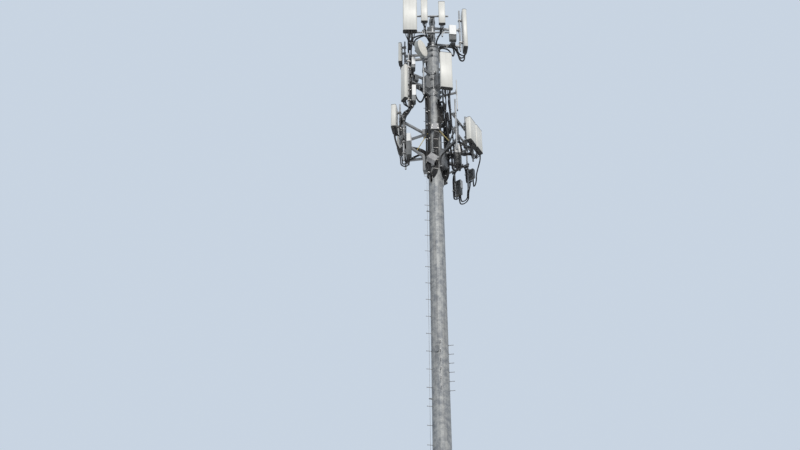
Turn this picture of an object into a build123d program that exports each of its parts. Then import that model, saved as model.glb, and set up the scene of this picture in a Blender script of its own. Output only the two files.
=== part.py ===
from build123d import *
from math import atan2, cos, degrees, pi, radians, sin, sqrt, tan
import os

# Cell tower: a telescoping steel shaft with three levels of antenna mounts.
# Millimetres, +Z up. The origin is the centre of the base flange's underside.
# A bearing of 0 faces -Y, and a positive bearing turns towards +X.

# Shaft: three tapered sections with flat sides, each slid down over the one below
SIDES = 18
FLAT_ANGLE = 360 / SIDES
BASE_WIDTH = 690.0
TAPER = 0.00895
LAP_GAP = 0.3
LOWER_WALL = 8.0
MIDDLE_WALL = 6.0
UPPER_WALL = 5.0
LOWER_TOP = 11000.0
MIDDLE_BOTTOM = 10100.0
MIDDLE_TOP = 21200.0
UPPER_BOTTOM = 20400.0
SHAFT_TOP = 31200.0

# Base flange with its ring of anchor bolt holes
FLANGE_THICK = 55.0
FLANGE_RADIUS = 530.0
FLANGE_BORE = 220.0
FLANGE_SIDES = 36
ANCHOR_COUNT = 12
ANCHOR_CIRCLE = 450.0
ANCHOR_HOLE = 31.0

# Cap flange and the pipe that stands on it
CAP_THICK = 20.0
CAP_RADIUS = 260.0
TOP_PIPE_OD = 219.0
TOP_PIPE_WALL = 8.0
TOP_PIPE_LENGTH = 1630.0
TOP_PIPE_TOP = SHAFT_TOP + CAP_THICK + TOP_PIPE_LENGTH
CAP_RIB_COUNT = 6
CAP_RIB_HEIGHT = 150.0
CAP_RIB_THICK = 10.0

# Ports: bearing, height of the centre, clear width and clear height
RIM_WALL = 12.0
RIM_OUT = 25.0
RIM_IN = 14.0
PORT_GAP = 0.3
BASE_PORT = (200.0, 500.0)
BASE_PORT_HEIGHT = 1150.0
BASE_PORT_BEARINGS = (0.0, 180.0)
CABLE_PORT = (110.0, 400.0)
CABLE_PORTS = ((-40.0, 24860.0), (100.0, 24860.0), (40.0, 28350.0), (-140.0, 28350.0))
SPARE_PORT = (110.0, 190.0)
SPARE_PORTS = ((-20.0, 18100.0), (160.0, 18100.0))
COVER_THICK = 5.0
COVER_LIP = 8.0

# Climbing pegs and the safety cable beside them
PEG_RADIUS = 9.0
PEG_REACH = 165.0
PEG_PITCH = 630.0
PEG_FIRST = 3000.0
PEG_LAST = 30300.0
PEG_BEARINGS = (-80.0, -160.0)
WORK_PEG_PITCH = 315.0
WORK_PEG_FIRST = 16750.0
WORK_PEG_COUNT = 6
WORK_PEG_BEARINGS = (0.0, 80.0)
CLIMB_BEARING = -70.0
CLIMB_CABLE_RADIUS = 5.0
CLIMB_STANDOFF = 90.0
CLIMB_BOTTOM = 2300.0
CLIMB_TOP = 30600.0
CLIMB_GUIDES = 5
CLIMB_NOTCH = 14.0
GUIDE_WIDTH = 50.0
GUIDE_THICK = 10.0
GUIDE_GAP = 0.3

# Round members are drawn with flat sides, as many as their size calls for
PIPE_SIDES = 10
BAR_SIDES = 6
CORNER_STEPS = 3
ON_FOOT = (Align.CENTER, Align.CENTER, Align.MIN)

# Pipes, rails and arms of the mounts
PIPE_OD = 60.3
PIPE_WALL = 4.0
RAIL_OD = 73.0
RAIL_WALL = 5.0
ARM_SIZE = 76.0
ARM_WALL = 5.0
BRACE_OD = 48.3
BRACE_WALL = 4.0
CROSS_PLATE = 180.0
CROSS_THICK = 10.0
SADDLE_GAP = 0.3
STRAP_THICK = 26.0

# Collars: plates that wrap the shaft, bolted together through their ears
COLLAR_GAP = 0.3
COLLAR_THICK = 14.0
COLLAR_SLIT = 24.0
EAR_REACH = 75.0
EAR_THICK = 14.0
BRACKET_WIDTH = 300.0
BRACKET_PLATE = 14.0
BRACKET_REACH = 190.0

# Pipe clamps: reach is from the pipe's axis to the back of what the clamp carries
CLAMP_REACH = 105.0
CLAMP_HEIGHT = 50.0
CLAMP_WIDTH = 110.0
CLAMP_PAD = 10.0

# Antennas: end caps, cable sockets, and width, depth and height of each kind
PANEL_CAP = 18.0
PANEL_CAP_LIP = 3.0
PANEL_CORNER_SHARE = 0.28
SOCKET_RADIUS = 14.0
SOCKET_LENGTH = 32.0
SOCKET_SHARE = 0.8
SQUARE_PANEL = (480.0, 190.0, 1030.0)
TALL_PANEL = (453.0, 150.0, 1770.0)
SLIM_PANEL = (300.0, 150.0, 1660.0)
BROAD_PANEL = (540.0, 200.0, 2100.0)
NARROW_PANEL = (253.0, 120.0, 1200.0)
RIGHT_PANEL = (420.0, 165.0, 2050.0)
SMALL_PANEL = (300.0, 130.0, 1000.0)

# Radio cases: fins in front of a solid core, and the sun shield over them
RADIO_FIN_PITCH = 34.0
RADIO_FIN_THICK = 8.0
RADIO_FIN_DEPTH = 26.0
RADIO_MARGIN = 20.0
SHIELD_THICK = 5.0

# Lower level: three frames on a double collar, with a tie ring above it
LOW_COLLAR = ((25330.0, 25480.0), (25930.0, 26080.0))
LOW_RING = (26980.0, 27200.0)
LOW_BRACKET = (LOW_COLLAR[0][0], LOW_COLLAR[1][1])
RIGHT_BEARING = 61.0
LEFT_BEARING = -100.0
BACK_BEARING = 142.0
LOW_BEARINGS = (RIGHT_BEARING, LEFT_BEARING, BACK_BEARING)

# Each frame of the lower level: how far its rails stand out, how far its arms spread, the
# heights and ends of its rails, its upright pipes as (place along the rail, foot, top), and
# what hangs on them as (place, (size, foot, clamp heights, cable sockets))
RIGHT_REACH = 1230.0
RIGHT_SPREAD = 520.0
RIGHT_RAILS = (26000.0, 26650.0)
RIGHT_ENDS = (-1080.0, 820.0)
RIGHT_PIPES = (
    (-960.0, 25090.0, 27360.0),
    (-175.0, 25500.0, 27150.0),
    (345.0, 25500.0, 27150.0),
)
RIGHT_PANELS = (
    (RIGHT_PIPES[1][0], (SQUARE_PANEL, 25860.0, (26200.0, 26820.0), 4)),
    (RIGHT_PIPES[2][0], (SQUARE_PANEL, 25880.0, (26200.0, 26820.0), 4)),
)

LEFT_REACH = 1080.0
LEFT_SPREAD = 500.0
LEFT_RAILS = (26350.0, 27300.0)
LEFT_ENDS = (-750.0, 900.0)
LEFT_PIPES = ((640.0, 26000.0, 28050.0), (-560.0, 26000.0, 28050.0))
LEFT_PANELS = (
    (LEFT_PIPES[0][0], (SQUARE_PANEL, 26870.0, (27000.0, 27650.0), 4)),
    (LEFT_PIPES[1][0], (SQUARE_PANEL, 26870.0, (27000.0, 27650.0), 4)),
)

BACK_REACH = 1100.0
BACK_SPREAD = 380.0
BACK_RAILS = (26000.0, 26700.0)
BACK_ENDS = (-680.0, 900.0)
BACK_PIPES = (
    (-560.0, 24950.0, 27000.0),
    (0.0, 24900.0, 26900.0),
    (740.0, 25500.0, 27200.0),
)
BACK_PANELS = ((BACK_PIPES[2][0], (SQUARE_PANEL, 25900.0, (26200.0, 26850.0), 4)),)

LOW_SIDES = (
    (RIGHT_BEARING, RIGHT_REACH, RIGHT_RAILS, RIGHT_ENDS, RIGHT_PIPES),
    (LEFT_BEARING, LEFT_REACH, LEFT_RAILS, LEFT_ENDS, LEFT_PIPES),
    (BACK_BEARING, BACK_REACH, BACK_RAILS, BACK_ENDS, BACK_PIPES),
)

LOW_PANELS = (
    (RIGHT_BEARING, RIGHT_REACH, RIGHT_PANELS),
    (LEFT_BEARING, LEFT_REACH, LEFT_PANELS),
    (BACK_BEARING, BACK_REACH, BACK_PANELS),
)

# Middle level: separate stand-off arms on a double collar, each given by its bearing and
# its pipe's distance from the shaft's axis, and the pipes by their foot and top as well
MID_BANDS = ((29050.0, 29180.0), (29480.0, 29610.0))
MID_BRACKET = (MID_BANDS[0][0], MID_BANDS[1][1])
MID_ARM_HEIGHTS = (29140.0, 29520.0)
MID_FRONT = (34.0, 727.0)
MID_LEFT = (-60.0, 1077.0)
MID_BACK = (178.0, 900.0)
MID_ARMS = (MID_FRONT, MID_LEFT, MID_BACK)
MID_PIPES = (
    (*MID_FRONT, 28450.0, 30350.0),
    (*MID_LEFT, 27700.0, 30500.0),
    (*MID_BACK, 28300.0, 30250.0),
)
FRONT_TURN = 10.0

# Dish level: two light collars hold the dish's pipe, and the lower one the whip as well
DISH_BANDS = ((28690.0, 28810.0), (29740.0, 29860.0))
DISH_ARM = (-42.0, 566.0)
DISH_PIPE = (*DISH_ARM, 28550.0, 30900.0)
WHIP_ARM = (70.0, 889.0)
WHIP_RADIUS = 19.0
WHIP_BOTTOM = 27860.0
WHIP_TOP = 29380.0
WHIP_TIP = 60.0
WHIP_TIP_LIP = 4.0
LIGHT_ARM = 60.0

# Top level: hubs on the top pipe carry the front rails and the right arms
HUB_WALL = 12.0
HUB_SIDES = 16
HUB_HEIGHT = 110.0
TOP_HUB_DROP = 170.0
FRONT_RAIL_HEIGHTS = (31800.0, TOP_PIPE_TOP - TOP_HUB_DROP)
FRONT_RAIL_REACH = 360.0
FRONT_RAIL_ENDS = (-1010.0, 620.0)
FRONT_PIPES = (
    (-870.0, 31450.0, 33700.0),
    (-316.0, 31550.0, 33400.0),
    (361.0, 31500.0, 33300.0),
)
RIGHT_ARM_HEIGHTS = (31500.0, 32380.0)
TOP_RIGHT = (95.0, 1078.0)
TOP_RIGHT_PIPE = (*TOP_RIGHT, 31250.0, 33450.0)
TOP_LEFT = (-98.0, 1075.0)
TOP_LEFT_PIPE = (*TOP_LEFT, 30550.0, 31800.0)
TOP_BANDS = ((30700.0, 30810.0), (30990.0, 31100.0))
TOP_BRACKET = (TOP_BANDS[0][0], TOP_BANDS[1][1])
TOP_ARM_HEIGHTS = (30790.0, 31020.0)

# Radios and boxes: width, depth, height and how much of the height its sun shield covers
LARGE_RADIO = (300.0, 170.0, 620.0, 0.55)
LONG_RADIO = (270.0, 160.0, 760.0, 0.65)
SHORT_RADIO = (270.0, 150.0, 520.0, 0.70)
SMALL_RADIO = (220.0, 130.0, 780.0, 0.47)
TALL_RADIO = (280.0, 160.0, 950.0, 0.36)
GREY_BOX = (330.0, 160.0, 380.0, 0.0)
RADIO_SOCKETS = 4
JUNCTION_BOX = (230.0, 150.0, 280.0)
JUNCTION_SPOT = 780.0
BOX_CORNER = 18.0
BREAKOUT_BOX = (230.0, 130.0, 430.0)
BREAKOUT_FOOT = 29900.0

# Where the radios hang: distance along the rail, foot, clamp heights
LEFT_RADIO_PIPE = (750.0, 25330.0, 27500.0)
LEFT_RADIO = (TALL_RADIO, 25490.0, (25650.0, 26150.0))
BACK_RADIOS = (
    (BACK_PIPES[0][0], (GREY_BOX, 25530.0, (25630.0, 25850.0))),
    (BACK_PIPES[1][0], (LARGE_RADIO, 25060.0, (25180.0, 25550.0))),
)
RIGHT_RADIO_ALONG = 0.40
RIGHT_RADIO_PIPE = (25280.0, 26300.0)
RIGHT_RADIO = (SMALL_RADIO, 25400.0, (25520.0, 25840.0))
MID_RADIOS = (
    (SHORT_RADIO, 29680.0, (29770.0, 30080.0)),
    (LONG_RADIO, 28040.0, (28160.0, 28660.0)),
)
MID_RADIO_TURN = 90.0
TOP_RADIO_ALONG = 0.70
TOP_RADIO_PIPE = (31300.0, 32560.0)
TOP_RADIO = (LONG_RADIO, 31530.0, (31720.0, 32180.0))

# Antennas of the middle and top levels: size, foot, clamp heights and cable sockets
MID_FRONT_PANEL = (TALL_PANEL, 28510.0, (28700.0, 30050.0), 6)
MID_LEFT_PANEL = (SLIM_PANEL, 28100.0, (28350.0, 28900.0), 4)
MID_BACK_PANEL = (SLIM_PANEL, 28400.0, (28600.0, 29850.0), 4)
TOP_FRONT_PANELS = (
    (BROAD_PANEL, 31550.0, (32000.0, 33300.0), 6),
    (NARROW_PANEL, 32120.0, (32250.0, 33100.0), 3),
    (NARROW_PANEL, 32000.0, (32150.0, 33050.0), 3),
)
TOP_RIGHT_PANEL = (RIGHT_PANEL, 31330.0, (31700.0, 32900.0), 6)
TOP_LEFT_PANEL = (SMALL_PANEL, 30660.0, (31180.0, 31500.0), 4)

# Microwave dish: a drum with a flat cover, a dished back and an offset bracket
DISH_TURN = 57.0
DISH_CENTRE = (-395.0, -850.0, 30480.0)
DISH_RADIUS = 330.0
DISH_DRUM = 160.0
DISH_BACK = 80.0
DISH_SIDES = 28
DISH_RINGS = (0, 30, 60)
DISH_FLAT = 90.0
DISH_SHELL = 4.0
DISH_COVER = 12.0
DISH_EDGE = 6.0
DISH_HUB = 60.0
DISH_HUB_LENGTH = 30.0
DISH_BEAM = 60.0

# Tie rods from the ring down to the arms of the lower level
TIE_RADIUS = 13.0
LEFT_ROOT = LOW_BRACKET[1] - ARM_SIZE
TIES = (
    (LEFT_BEARING, 48.0, 1.0, LEFT_REACH, LEFT_SPREAD, LEFT_ROOT, LEFT_RAILS[0], ARM_SIZE),
    (RIGHT_BEARING, -30.0, -1.0, RIGHT_REACH, RIGHT_SPREAD, RIGHT_RAILS[0], RIGHT_RAILS[1], BRACE_OD),
)
TIE_ALONG = 0.35
TIE_TOP = 27060.0

# Riser cables up the right side, held by hangers, from a port to the breakout box
RISER_BEARING, RISER_PORT = CABLE_PORTS[1]
RISER_RADIUS = 14.0
RISER_PITCH = 31.0
RISER_COUNT = 5
RISER_LINE = 345.0
RISER_TURN = 25080.0
RISER_INSIDE = 190.0
RISER_SQUEEZE = 0.62
RISER_ROW = 110.0
RISER_SLOPE = 30.0
HANGER_HEIGHTS = (26300.0, 27450.0, 28350.0, 29350.0)
HANGER_HALF = 85.0
HANGER_THICK = 36.0
HANGER_MARGIN = 24.0
BREAKOUT_FEET = (0.2, 0.8)

# Free cables: the trunks leave a port, and the jumpers join one socket to another.
# A bend takes its radius from the shorter of its two runs.
TRUNK_RADIUS = 17.0
JUMPER_RADIUS = 11.0
BEND_SHARE = 0.45
LOOP_CORNER = 45.0
LOOP_RISE = 1.2
TRUNK_EXIT = ((-60.0, 0.0), (110.0, 10.0), (250.0, -110.0), (290.0, -300.0))
TRUNK_SIDES = {"trunk_front": 28.0, "trunk_right": -4.0}
TRUNK_PORT = 2

# How far each jumper leaves its socket before it bends
LEADS = {
    "jumper_left_outer": 190.0,
    "jumper_left_inner": 160.0,
    "jumper_right": 200.0,
    "jumper_back_outer": 160.0,
    "jumper_back_inner": 130.0,
    "jumper_top_left": 180.0,
    "jumper_top_right": 150.0,
    "jumper_middle": 190.0,
}

# The loop at the low end of each free cable: its half width, and the steps down to it
LOOPS = {
    "jumper_left_outer": (150.0, 7),
    "jumper_left_inner": (130.0, 7),
    "jumper_right": (200.0, 3),
    "jumper_back_outer": (200.0, 3),
    "jumper_back_inner": (150.0, 3),
    "jumper_top_left": (150.0, 5),
    "jumper_top_right": (180.0, 3),
    "jumper_middle": (125.0, 15),
    "trunk_front": (140.0, 13),
    "trunk_right": (200.0, 9),
}

# Stretches of the shaft where no climbing peg stands, and how clear of them pegs stay
COLLAR_ZONES = (
    (LOW_BRACKET[0], LOW_RING[1]),
    (DISH_BANDS[0][0], DISH_BANDS[1][1]),
    TOP_BRACKET,
)
PEG_CLEAR = 40.0


def shaft_width(section, z):
    """Width across flats of a section's outside, for section 0, 1 or 2."""
    laps = (0.0, MIDDLE_WALL + LAP_GAP, MIDDLE_WALL + UPPER_WALL + 2 * LAP_GAP)
    return BASE_WIDTH - TAPER * z + 2 * laps[section]


def frustum(z_low, z_high, section, offset):
    """A solid tapered prism that follows a section, grown by offset on every side."""
    ends = [
        Pos(0, 0, z) * RegularPolygon(shaft_width(section, z) / 2 + offset, SIDES, major_radius=False)
        for z in (z_low, z_high)
    ]
    return loft(ends, ruled=True)


def sleeve(z_low, z_high, section, inner, outer):
    return frustum(z_low, z_high, section, outer) - frustum(z_low, z_high, section, inner)


def section_at(z):
    return 2 if z > UPPER_BOTTOM else 1 if z > MIDDLE_BOTTOM else 0


def surface(z):
    """Distance from the shaft's axis to the middle of a flat at height z."""
    return shaft_width(section_at(z), z) / 2


def facing(bearing):
    return Rot(0, 0, bearing)


def bar(radius, length, sides=PIPE_SIDES):
    """An upright bar on z = 0, with flat sides that face -Y and +Y."""
    return extrude(RegularPolygon(radius, sides, major_radius=False), length)


def through(radius, length, sides=PIPE_SIDES):
    """The room of a bar that passes through z = 0."""
    return Pos(0, 0, -length / 2) * bar(radius, length, sides)


def round_tube(start, end, od, wall):
    run = Vector(*end) - Vector(*start)
    across = (1, 0, 0) if abs(run.Z) > run.length / 2 else (0, 0, 1)
    seat = Plane(origin=start, x_dir=across, z_dir=run)
    return seat * (bar(od / 2, run.length) - bar(od / 2 - wall, run.length))


def rounded(width, depth, corner):
    """A rectangle centred on the origin with each corner turned in short flats."""
    points = []
    for quarter in range(4):
        x = (width / 2 - corner) * (1 if quarter in (0, 3) else -1)
        y = (depth / 2 - corner) * (1 if quarter in (0, 1) else -1)
        for step in range(CORNER_STEPS + 1):
            angle = radians(90 * (quarter + step / CORNER_STEPS))
            points.append((x + corner * cos(angle), y + corner * sin(angle)))
    return make_face(Polyline(*points, close=True))


def square_tube(start, end, size, wall):
    run = Vector(*end) - Vector(*start)
    seat = Plane(origin=start, x_dir=Vector(0, 0, 1).cross(run), z_dir=run)
    outside = Box(size, size, run.length, align=ON_FOOT)
    inside = Box(size - 2 * wall, size - 2 * wall, run.length, align=ON_FOOT)
    return seat * (outside - inside)


def obround(width, height):
    """An upright slot with ends turned in short flats."""
    points = []
    for end in (1, -1):
        for step in range(2 * CORNER_STEPS + 1):
            angle = radians(90 * (1 - end) + 90 * step / CORNER_STEPS)
            points.append((width / 2 * cos(angle), end * (height - width) / 2 + width / 2 * sin(angle)))
    return make_face(Polyline(*points, close=True))


def port_prism(width, height, grow, z, near, far):
    """An upright rounded slot pushed out along bearing 0, from radius near to radius far."""
    profile = Plane(origin=(0, -near, z), x_dir=(1, 0, 0), z_dir=(0, -1, 0)) * obround(
        width + 2 * grow, height + 2 * grow
    )
    return extrude(profile, far - near)


def all_ports():
    """Every port as (bearing, height, clear size)."""
    base = [(b, BASE_PORT_HEIGHT, BASE_PORT) for b in BASE_PORT_BEARINGS]
    cable = [(b, z, CABLE_PORT) for b, z in CABLE_PORTS]
    spare = [(b, z, SPARE_PORT) for b, z in SPARE_PORTS]
    return base + cable + spare


def shaft_section(section, z_low, z_high, wall):
    body = sleeve(z_low, z_high, section, -wall, 0)
    for bearing, z, size in all_ports():
        if section_at(z) == section:
            reach = surface(z)
            body -= facing(bearing) * port_prism(
                *size, RIM_WALL + PORT_GAP, z, reach - size[0], reach + RIM_OUT
            )
    return body


def port_rims():
    rims = []
    for bearing, z, size in all_ports():
        reach = surface(z)
        ring = port_prism(*size, RIM_WALL, z, reach - RIM_IN, reach + RIM_OUT)
        ring -= port_prism(*size, 0, z, reach - RIM_IN, reach + RIM_OUT)
        rims.append(facing(bearing) * ring)
    return rims


def port_covers():
    covers = []
    for bearing, z, size in all_ports():
        if size == CABLE_PORT:
            continue
        face = surface(z) + RIM_OUT
        covers.append(
            facing(bearing) * port_prism(*size, RIM_WALL + COVER_LIP, z, face, face + COVER_THICK)
        )
    return covers


def base_flange():
    plate = bar(FLANGE_RADIUS, FLANGE_THICK, FLANGE_SIDES)
    plate -= through(FLANGE_BORE, 3 * FLANGE_THICK, FLANGE_SIDES)
    plate -= PolarLocations(ANCHOR_CIRCLE, ANCHOR_COUNT) * Cylinder(ANCHOR_HOLE, 3 * FLANGE_THICK)
    return plate


def shaft_cap():
    cap = Pos(0, 0, SHAFT_TOP) * bar(CAP_RADIUS, CAP_THICK, SIDES)
    top = SHAFT_TOP + CAP_THICK
    inner = TOP_PIPE_OD / 2
    rib = Polyline(
        (inner, top), (CAP_RADIUS, top), (CAP_RADIUS, top + CAP_RIB_THICK),
        (inner + CAP_RIB_THICK, top + CAP_RIB_HEIGHT), (inner, top + CAP_RIB_HEIGHT), close=True,
    )
    blade = extrude(Plane.XZ * make_face(rib), CAP_RIB_THICK / 2, both=True)
    for i in range(CAP_RIB_COUNT):
        cap += Rot(0, 0, i * 360 / CAP_RIB_COUNT) * blade
    return cap - Pos(0, 0, top) * bar(inner + SADDLE_GAP, CAP_RIB_HEIGHT, HUB_SIDES)


def top_pipe():
    outside = bar(TOP_PIPE_OD / 2, TOP_PIPE_LENGTH, HUB_SIDES)
    inside = bar(TOP_PIPE_OD / 2 - TOP_PIPE_WALL, TOP_PIPE_LENGTH, HUB_SIDES)
    return Pos(0, 0, SHAFT_TOP + CAP_THICK) * (outside - inside)


def peg(bearing, z):
    """A climbing peg that stands straight out from one of the shaft's flats."""
    seat = surface(z) + PEG_RADIUS * TAPER
    outward = Plane(origin=(0, -seat, z), x_dir=(1, 0, 0), z_dir=(0, -1, 0))
    return facing(bearing) * (outward * bar(PEG_RADIUS, PEG_REACH, BAR_SIDES))


def peg_blocked(bearing, z):
    """True where a peg would foul a port's rim, its cover or a collar."""
    for z_low, z_high in COLLAR_ZONES:
        if z_low - PEG_CLEAR < z < z_high + PEG_CLEAR:
            return True
    for port_bearing, height, size in all_ports():
        apart = abs((bearing - port_bearing + 180) % 360 - 180)
        if apart < FLAT_ANGLE and abs(z - height) < size[1] / 2 + PEG_REACH:
            return True
    return False


def step_pegs():
    pegs = []
    for column, bearing in enumerate(PEG_BEARINGS):
        z = PEG_FIRST + column * PEG_PITCH / 2
        while z < PEG_LAST:
            if not peg_blocked(bearing, z):
                pegs.append(peg(bearing, z))
            z += PEG_PITCH
    for bearing in WORK_PEG_BEARINGS:
        for i in range(WORK_PEG_COUNT):
            pegs.append(peg(bearing, WORK_PEG_FIRST + i * WORK_PEG_PITCH))
    return pegs


def climb_line(z):
    """Distance of the safety cable from the shaft's axis at height z."""
    low = surface(CLIMB_BOTTOM) + CLIMB_STANDOFF
    high = surface(CLIMB_TOP) + CLIMB_STANDOFF
    return low + (high - low) * (z - CLIMB_BOTTOM) / (CLIMB_TOP - CLIMB_BOTTOM)


def climb_cable():
    ends = [(0, -climb_line(z), z) for z in (CLIMB_BOTTOM, CLIMB_TOP)]
    run = Vector(*ends[1]) - Vector(*ends[0])
    wire = bar(CLIMB_CABLE_RADIUS, run.length, BAR_SIDES)
    return facing(CLIMB_BEARING) * (Plane(origin=ends[0], x_dir=(1, 0, 0), z_dir=run) * wire)


def block(x_low, x_high, y_low, y_high, z_low, z_high):
    size = (x_high - x_low, y_high - y_low, z_high - z_low)
    centre = ((x_low + x_high) / 2, (y_low + y_high) / 2, (z_low + z_high) / 2)
    return Pos(*centre) * Box(*size)


def climb_guides():
    """Clips that hold the safety cable off the shaft at even heights."""
    guides = []
    pitch = (CLIMB_TOP - CLIMB_BOTTOM - 2 * GUIDE_WIDTH) / (CLIMB_GUIDES - 1)
    for i in range(CLIMB_GUIDES):
        z = CLIMB_BOTTOM + GUIDE_WIDTH + i * pitch
        reach = climb_line(z)
        half = GUIDE_WIDTH / 2
        clip = block(-half, half, -reach - half, -surface(z), z - GUIDE_THICK, z + GUIDE_THICK)
        clip -= Pos(0, -reach, z) * through(CLIMB_CABLE_RADIUS + GUIDE_GAP, GUIDE_WIDTH, BAR_SIDES)
        core = frustum(z - GUIDE_WIDTH, z + GUIDE_WIDTH, section_at(z), GUIDE_GAP)
        guides.append(facing(CLIMB_BEARING) * clip - core)
    return guides


def collar(z_low, z_high, splits):
    """A band round the shaft, parted at the split bearings, with a pair of ears at each."""
    band = sleeve(z_low, z_high, section_at(z_low), COLLAR_GAP, COLLAR_GAP + COLLAR_THICK)
    root = surface(z_low) + COLLAR_GAP + COLLAR_THICK / 2
    half = COLLAR_SLIT / 2 + EAR_THICK
    for bearing in splits:
        band += facing(bearing) * block(-half, half, -root - EAR_REACH, -root, z_low, z_high)
    half = COLLAR_SLIT / 2
    for bearing in splits:
        slit = block(-half, half, -root - 2 * EAR_REACH, -root + EAR_REACH, z_low, z_high)
        band -= facing(bearing) * slit
    return band


def splits_between(bearings):
    """Bearings half way between neighbouring brackets, where a collar is parted."""
    turns = sorted(b % 360 for b in bearings)
    return [(a + b) / 2 for a, b in zip(turns, turns[1:] + [turns[0] + 360])]


def clear_of_collar(piece, bearing, z_low, z_high):
    """Cut a piece that faces -Y so that it meets a collar once turned to its bearing."""
    margin = 2 * EAR_REACH
    core = frustum(z_low - margin, z_high + margin, section_at(z_low), 2 * COLLAR_GAP + COLLAR_THICK)
    return piece - facing(-bearing) * core


def bracket(bearing, z_low, z_high):
    """Two cheek plates and a face plate that stand out from a collar, facing -Y."""
    cheek = BRACKET_WIDTH / 2 - 2 * BRACKET_PLATE
    near = surface(z_low) / 2
    far = surface(z_low) + BRACKET_REACH
    body = block(-BRACKET_WIDTH / 2, BRACKET_WIDTH / 2, -far, -far + BRACKET_PLATE, z_low, z_high)
    for side in (-cheek, cheek):
        body += block(side - BRACKET_PLATE / 2, side + BRACKET_PLATE / 2, -far, -near, z_low, z_high)
    body += block(-cheek, cheek, -far, -near, z_low, z_low + BRACKET_PLATE)
    notch = Pos(0, -climb_line(z_low), z_low) * through(CLIMB_NOTCH, 4 * BRACKET_PLATE, BAR_SIDES)
    body -= facing(CLIMB_BEARING - bearing) * notch
    return clear_of_collar(body, bearing, z_low, z_high)


def bracket_face(z_low):
    return surface(z_low) + BRACKET_REACH


def arm_end(reach):
    """Radius at which an arm stops, behind the plate that carries a rail."""
    return reach - RAIL_OD / 2 - SADDLE_GAP - CROSS_THICK


def arm(start, end, size, wall):
    """A square arm from a bracket's face to the back of an end plate, cut flush at both."""
    first = Vector(*start)
    last = Vector(*end)
    beyond = (last - first).normalized() * size
    tube = square_tube(first - beyond, last + beyond, size, wall)
    far = 10 * size
    low = min(start[2], end[2]) - far
    high = max(start[2], end[2]) + far
    return tube & block(-3 * far, 3 * far, end[1], start[1], low, high)


def end_plate(t, reach, z):
    half = CROSS_PLATE / 2
    back = arm_end(reach)
    return block(t - half, t + half, -back - CROSS_THICK, -back, z - half, z + half)


def v_frame(bearing, z_low, z_high, reach, spread, z_root, z_rail):
    """A bracket with two spreading arms and the end plates that carry one rail."""
    frame = bracket(bearing, z_low, z_high)
    root = BRACKET_WIDTH / 2 - ARM_SIZE
    for side in (-1, 1):
        start = (side * root, -bracket_face(z_low), z_root)
        end = (side * spread, -arm_end(reach), z_rail)
        frame += arm(start, end, ARM_SIZE, ARM_WALL)
        frame += end_plate(side * spread, reach, z_rail)
    return frame


def rail(reach, t_low, t_high, z):
    return round_tube((t_low, -reach, z), (t_high, -reach, z), RAIL_OD, RAIL_WALL)


def crossover(t, reach, z):
    """The plate between a rail and the upright pipe in front of it."""
    half = CROSS_PLATE / 2
    back = reach + RAIL_OD / 2 + SADDLE_GAP
    return block(t - half, t + half, -back - CROSS_THICK, -back, z - half, z + half)


def pipe_line(reach):
    """Radius of the upright pipes' axis in front of a rail at radius reach."""
    return reach + RAIL_OD / 2 + CROSS_THICK + 2 * SADDLE_GAP + PIPE_OD / 2


def upright(t, radius, z_low, z_high):
    return round_tube((t, -radius, z_low), (t, -radius, z_high), PIPE_OD, PIPE_WALL)


def clamp(z):
    """A clamp round an upright pipe with a pad out to the back of what it carries."""
    half = CLAMP_HEIGHT / 2
    wide = CLAMP_WIDTH / 2
    pipe = PIPE_OD / 2
    body = block(-wide, wide, -pipe - STRAP_THICK, pipe + STRAP_THICK / 2, -half, half)
    body += block(-wide / 2, wide / 2, -CLAMP_REACH, -pipe, -half, half)
    body += block(-wide, wide, -CLAMP_REACH, -CLAMP_REACH + CLAMP_PAD, -2 * half, 2 * half)
    body -= through(pipe + SADDLE_GAP, 3 * CLAMP_HEIGHT)
    return Pos(0, 0, z) * body


def panel_profile(width, depth, lip=0.0):
    """Outline of an antenna cover, grown by a lip, with its back on y = 0."""
    corner = depth * PANEL_CORNER_SHARE + lip
    return Pos(0, -depth / 2) * rounded(width + 2 * lip, depth + 2 * lip, corner)


def radome(width, depth, height):
    """An antenna cover with its back on y = 0 and its foot at z = 0, facing -Y."""
    return Pos(0, 0, PANEL_CAP) * extrude(panel_profile(width, depth), height - 2 * PANEL_CAP)


def socket_spots(width, count):
    """Places of the cable sockets across the foot of an antenna or a radio."""
    pitch = width * SOCKET_SHARE / count
    return [(i - (count - 1) / 2) * pitch for i in range(count)]


def sockets(width, count, depth):
    """A row of cable sockets that hang from z = 0, at a depth in front of the back."""
    stub = bar(SOCKET_RADIUS, SOCKET_LENGTH, BAR_SIDES)
    return [Pos(x, -depth, -SOCKET_LENGTH) * stub for x in socket_spots(width, count)]


def radome_caps(width, depth, height, count):
    """The foot with its cable sockets, and the lid, of an antenna cover."""
    cap = extrude(panel_profile(width, depth, PANEL_CAP_LIP), PANEL_CAP)
    foot = cap
    for stub in sockets(width, count, depth / 2):
        foot += stub
    return [foot, Pos(0, 0, height - PANEL_CAP) * cap]


def radio_core(depth):
    """Depth of a radio case without its fins and the shield in front of them."""
    return depth - RADIO_FIN_DEPTH - SHIELD_THICK


def radio_body(width, depth, height):
    """A finned radio case with its back on y = 0 and its foot at z = 0, facing -Y."""
    core = radio_core(depth)
    body = block(-width / 2, width / 2, -core, 0, 0, height)
    count = int((width - 2 * RADIO_MARGIN) / RADIO_FIN_PITCH) + 1
    for i in range(count):
        x = (i - (count - 1) / 2) * RADIO_FIN_PITCH
        half = RADIO_FIN_THICK / 2
        body += block(x - half, x + half, -core - RADIO_FIN_DEPTH, -core, RADIO_MARGIN, height)
    for stub in sockets(width, RADIO_SOCKETS, core / 2):
        body += stub
    return body


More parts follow.
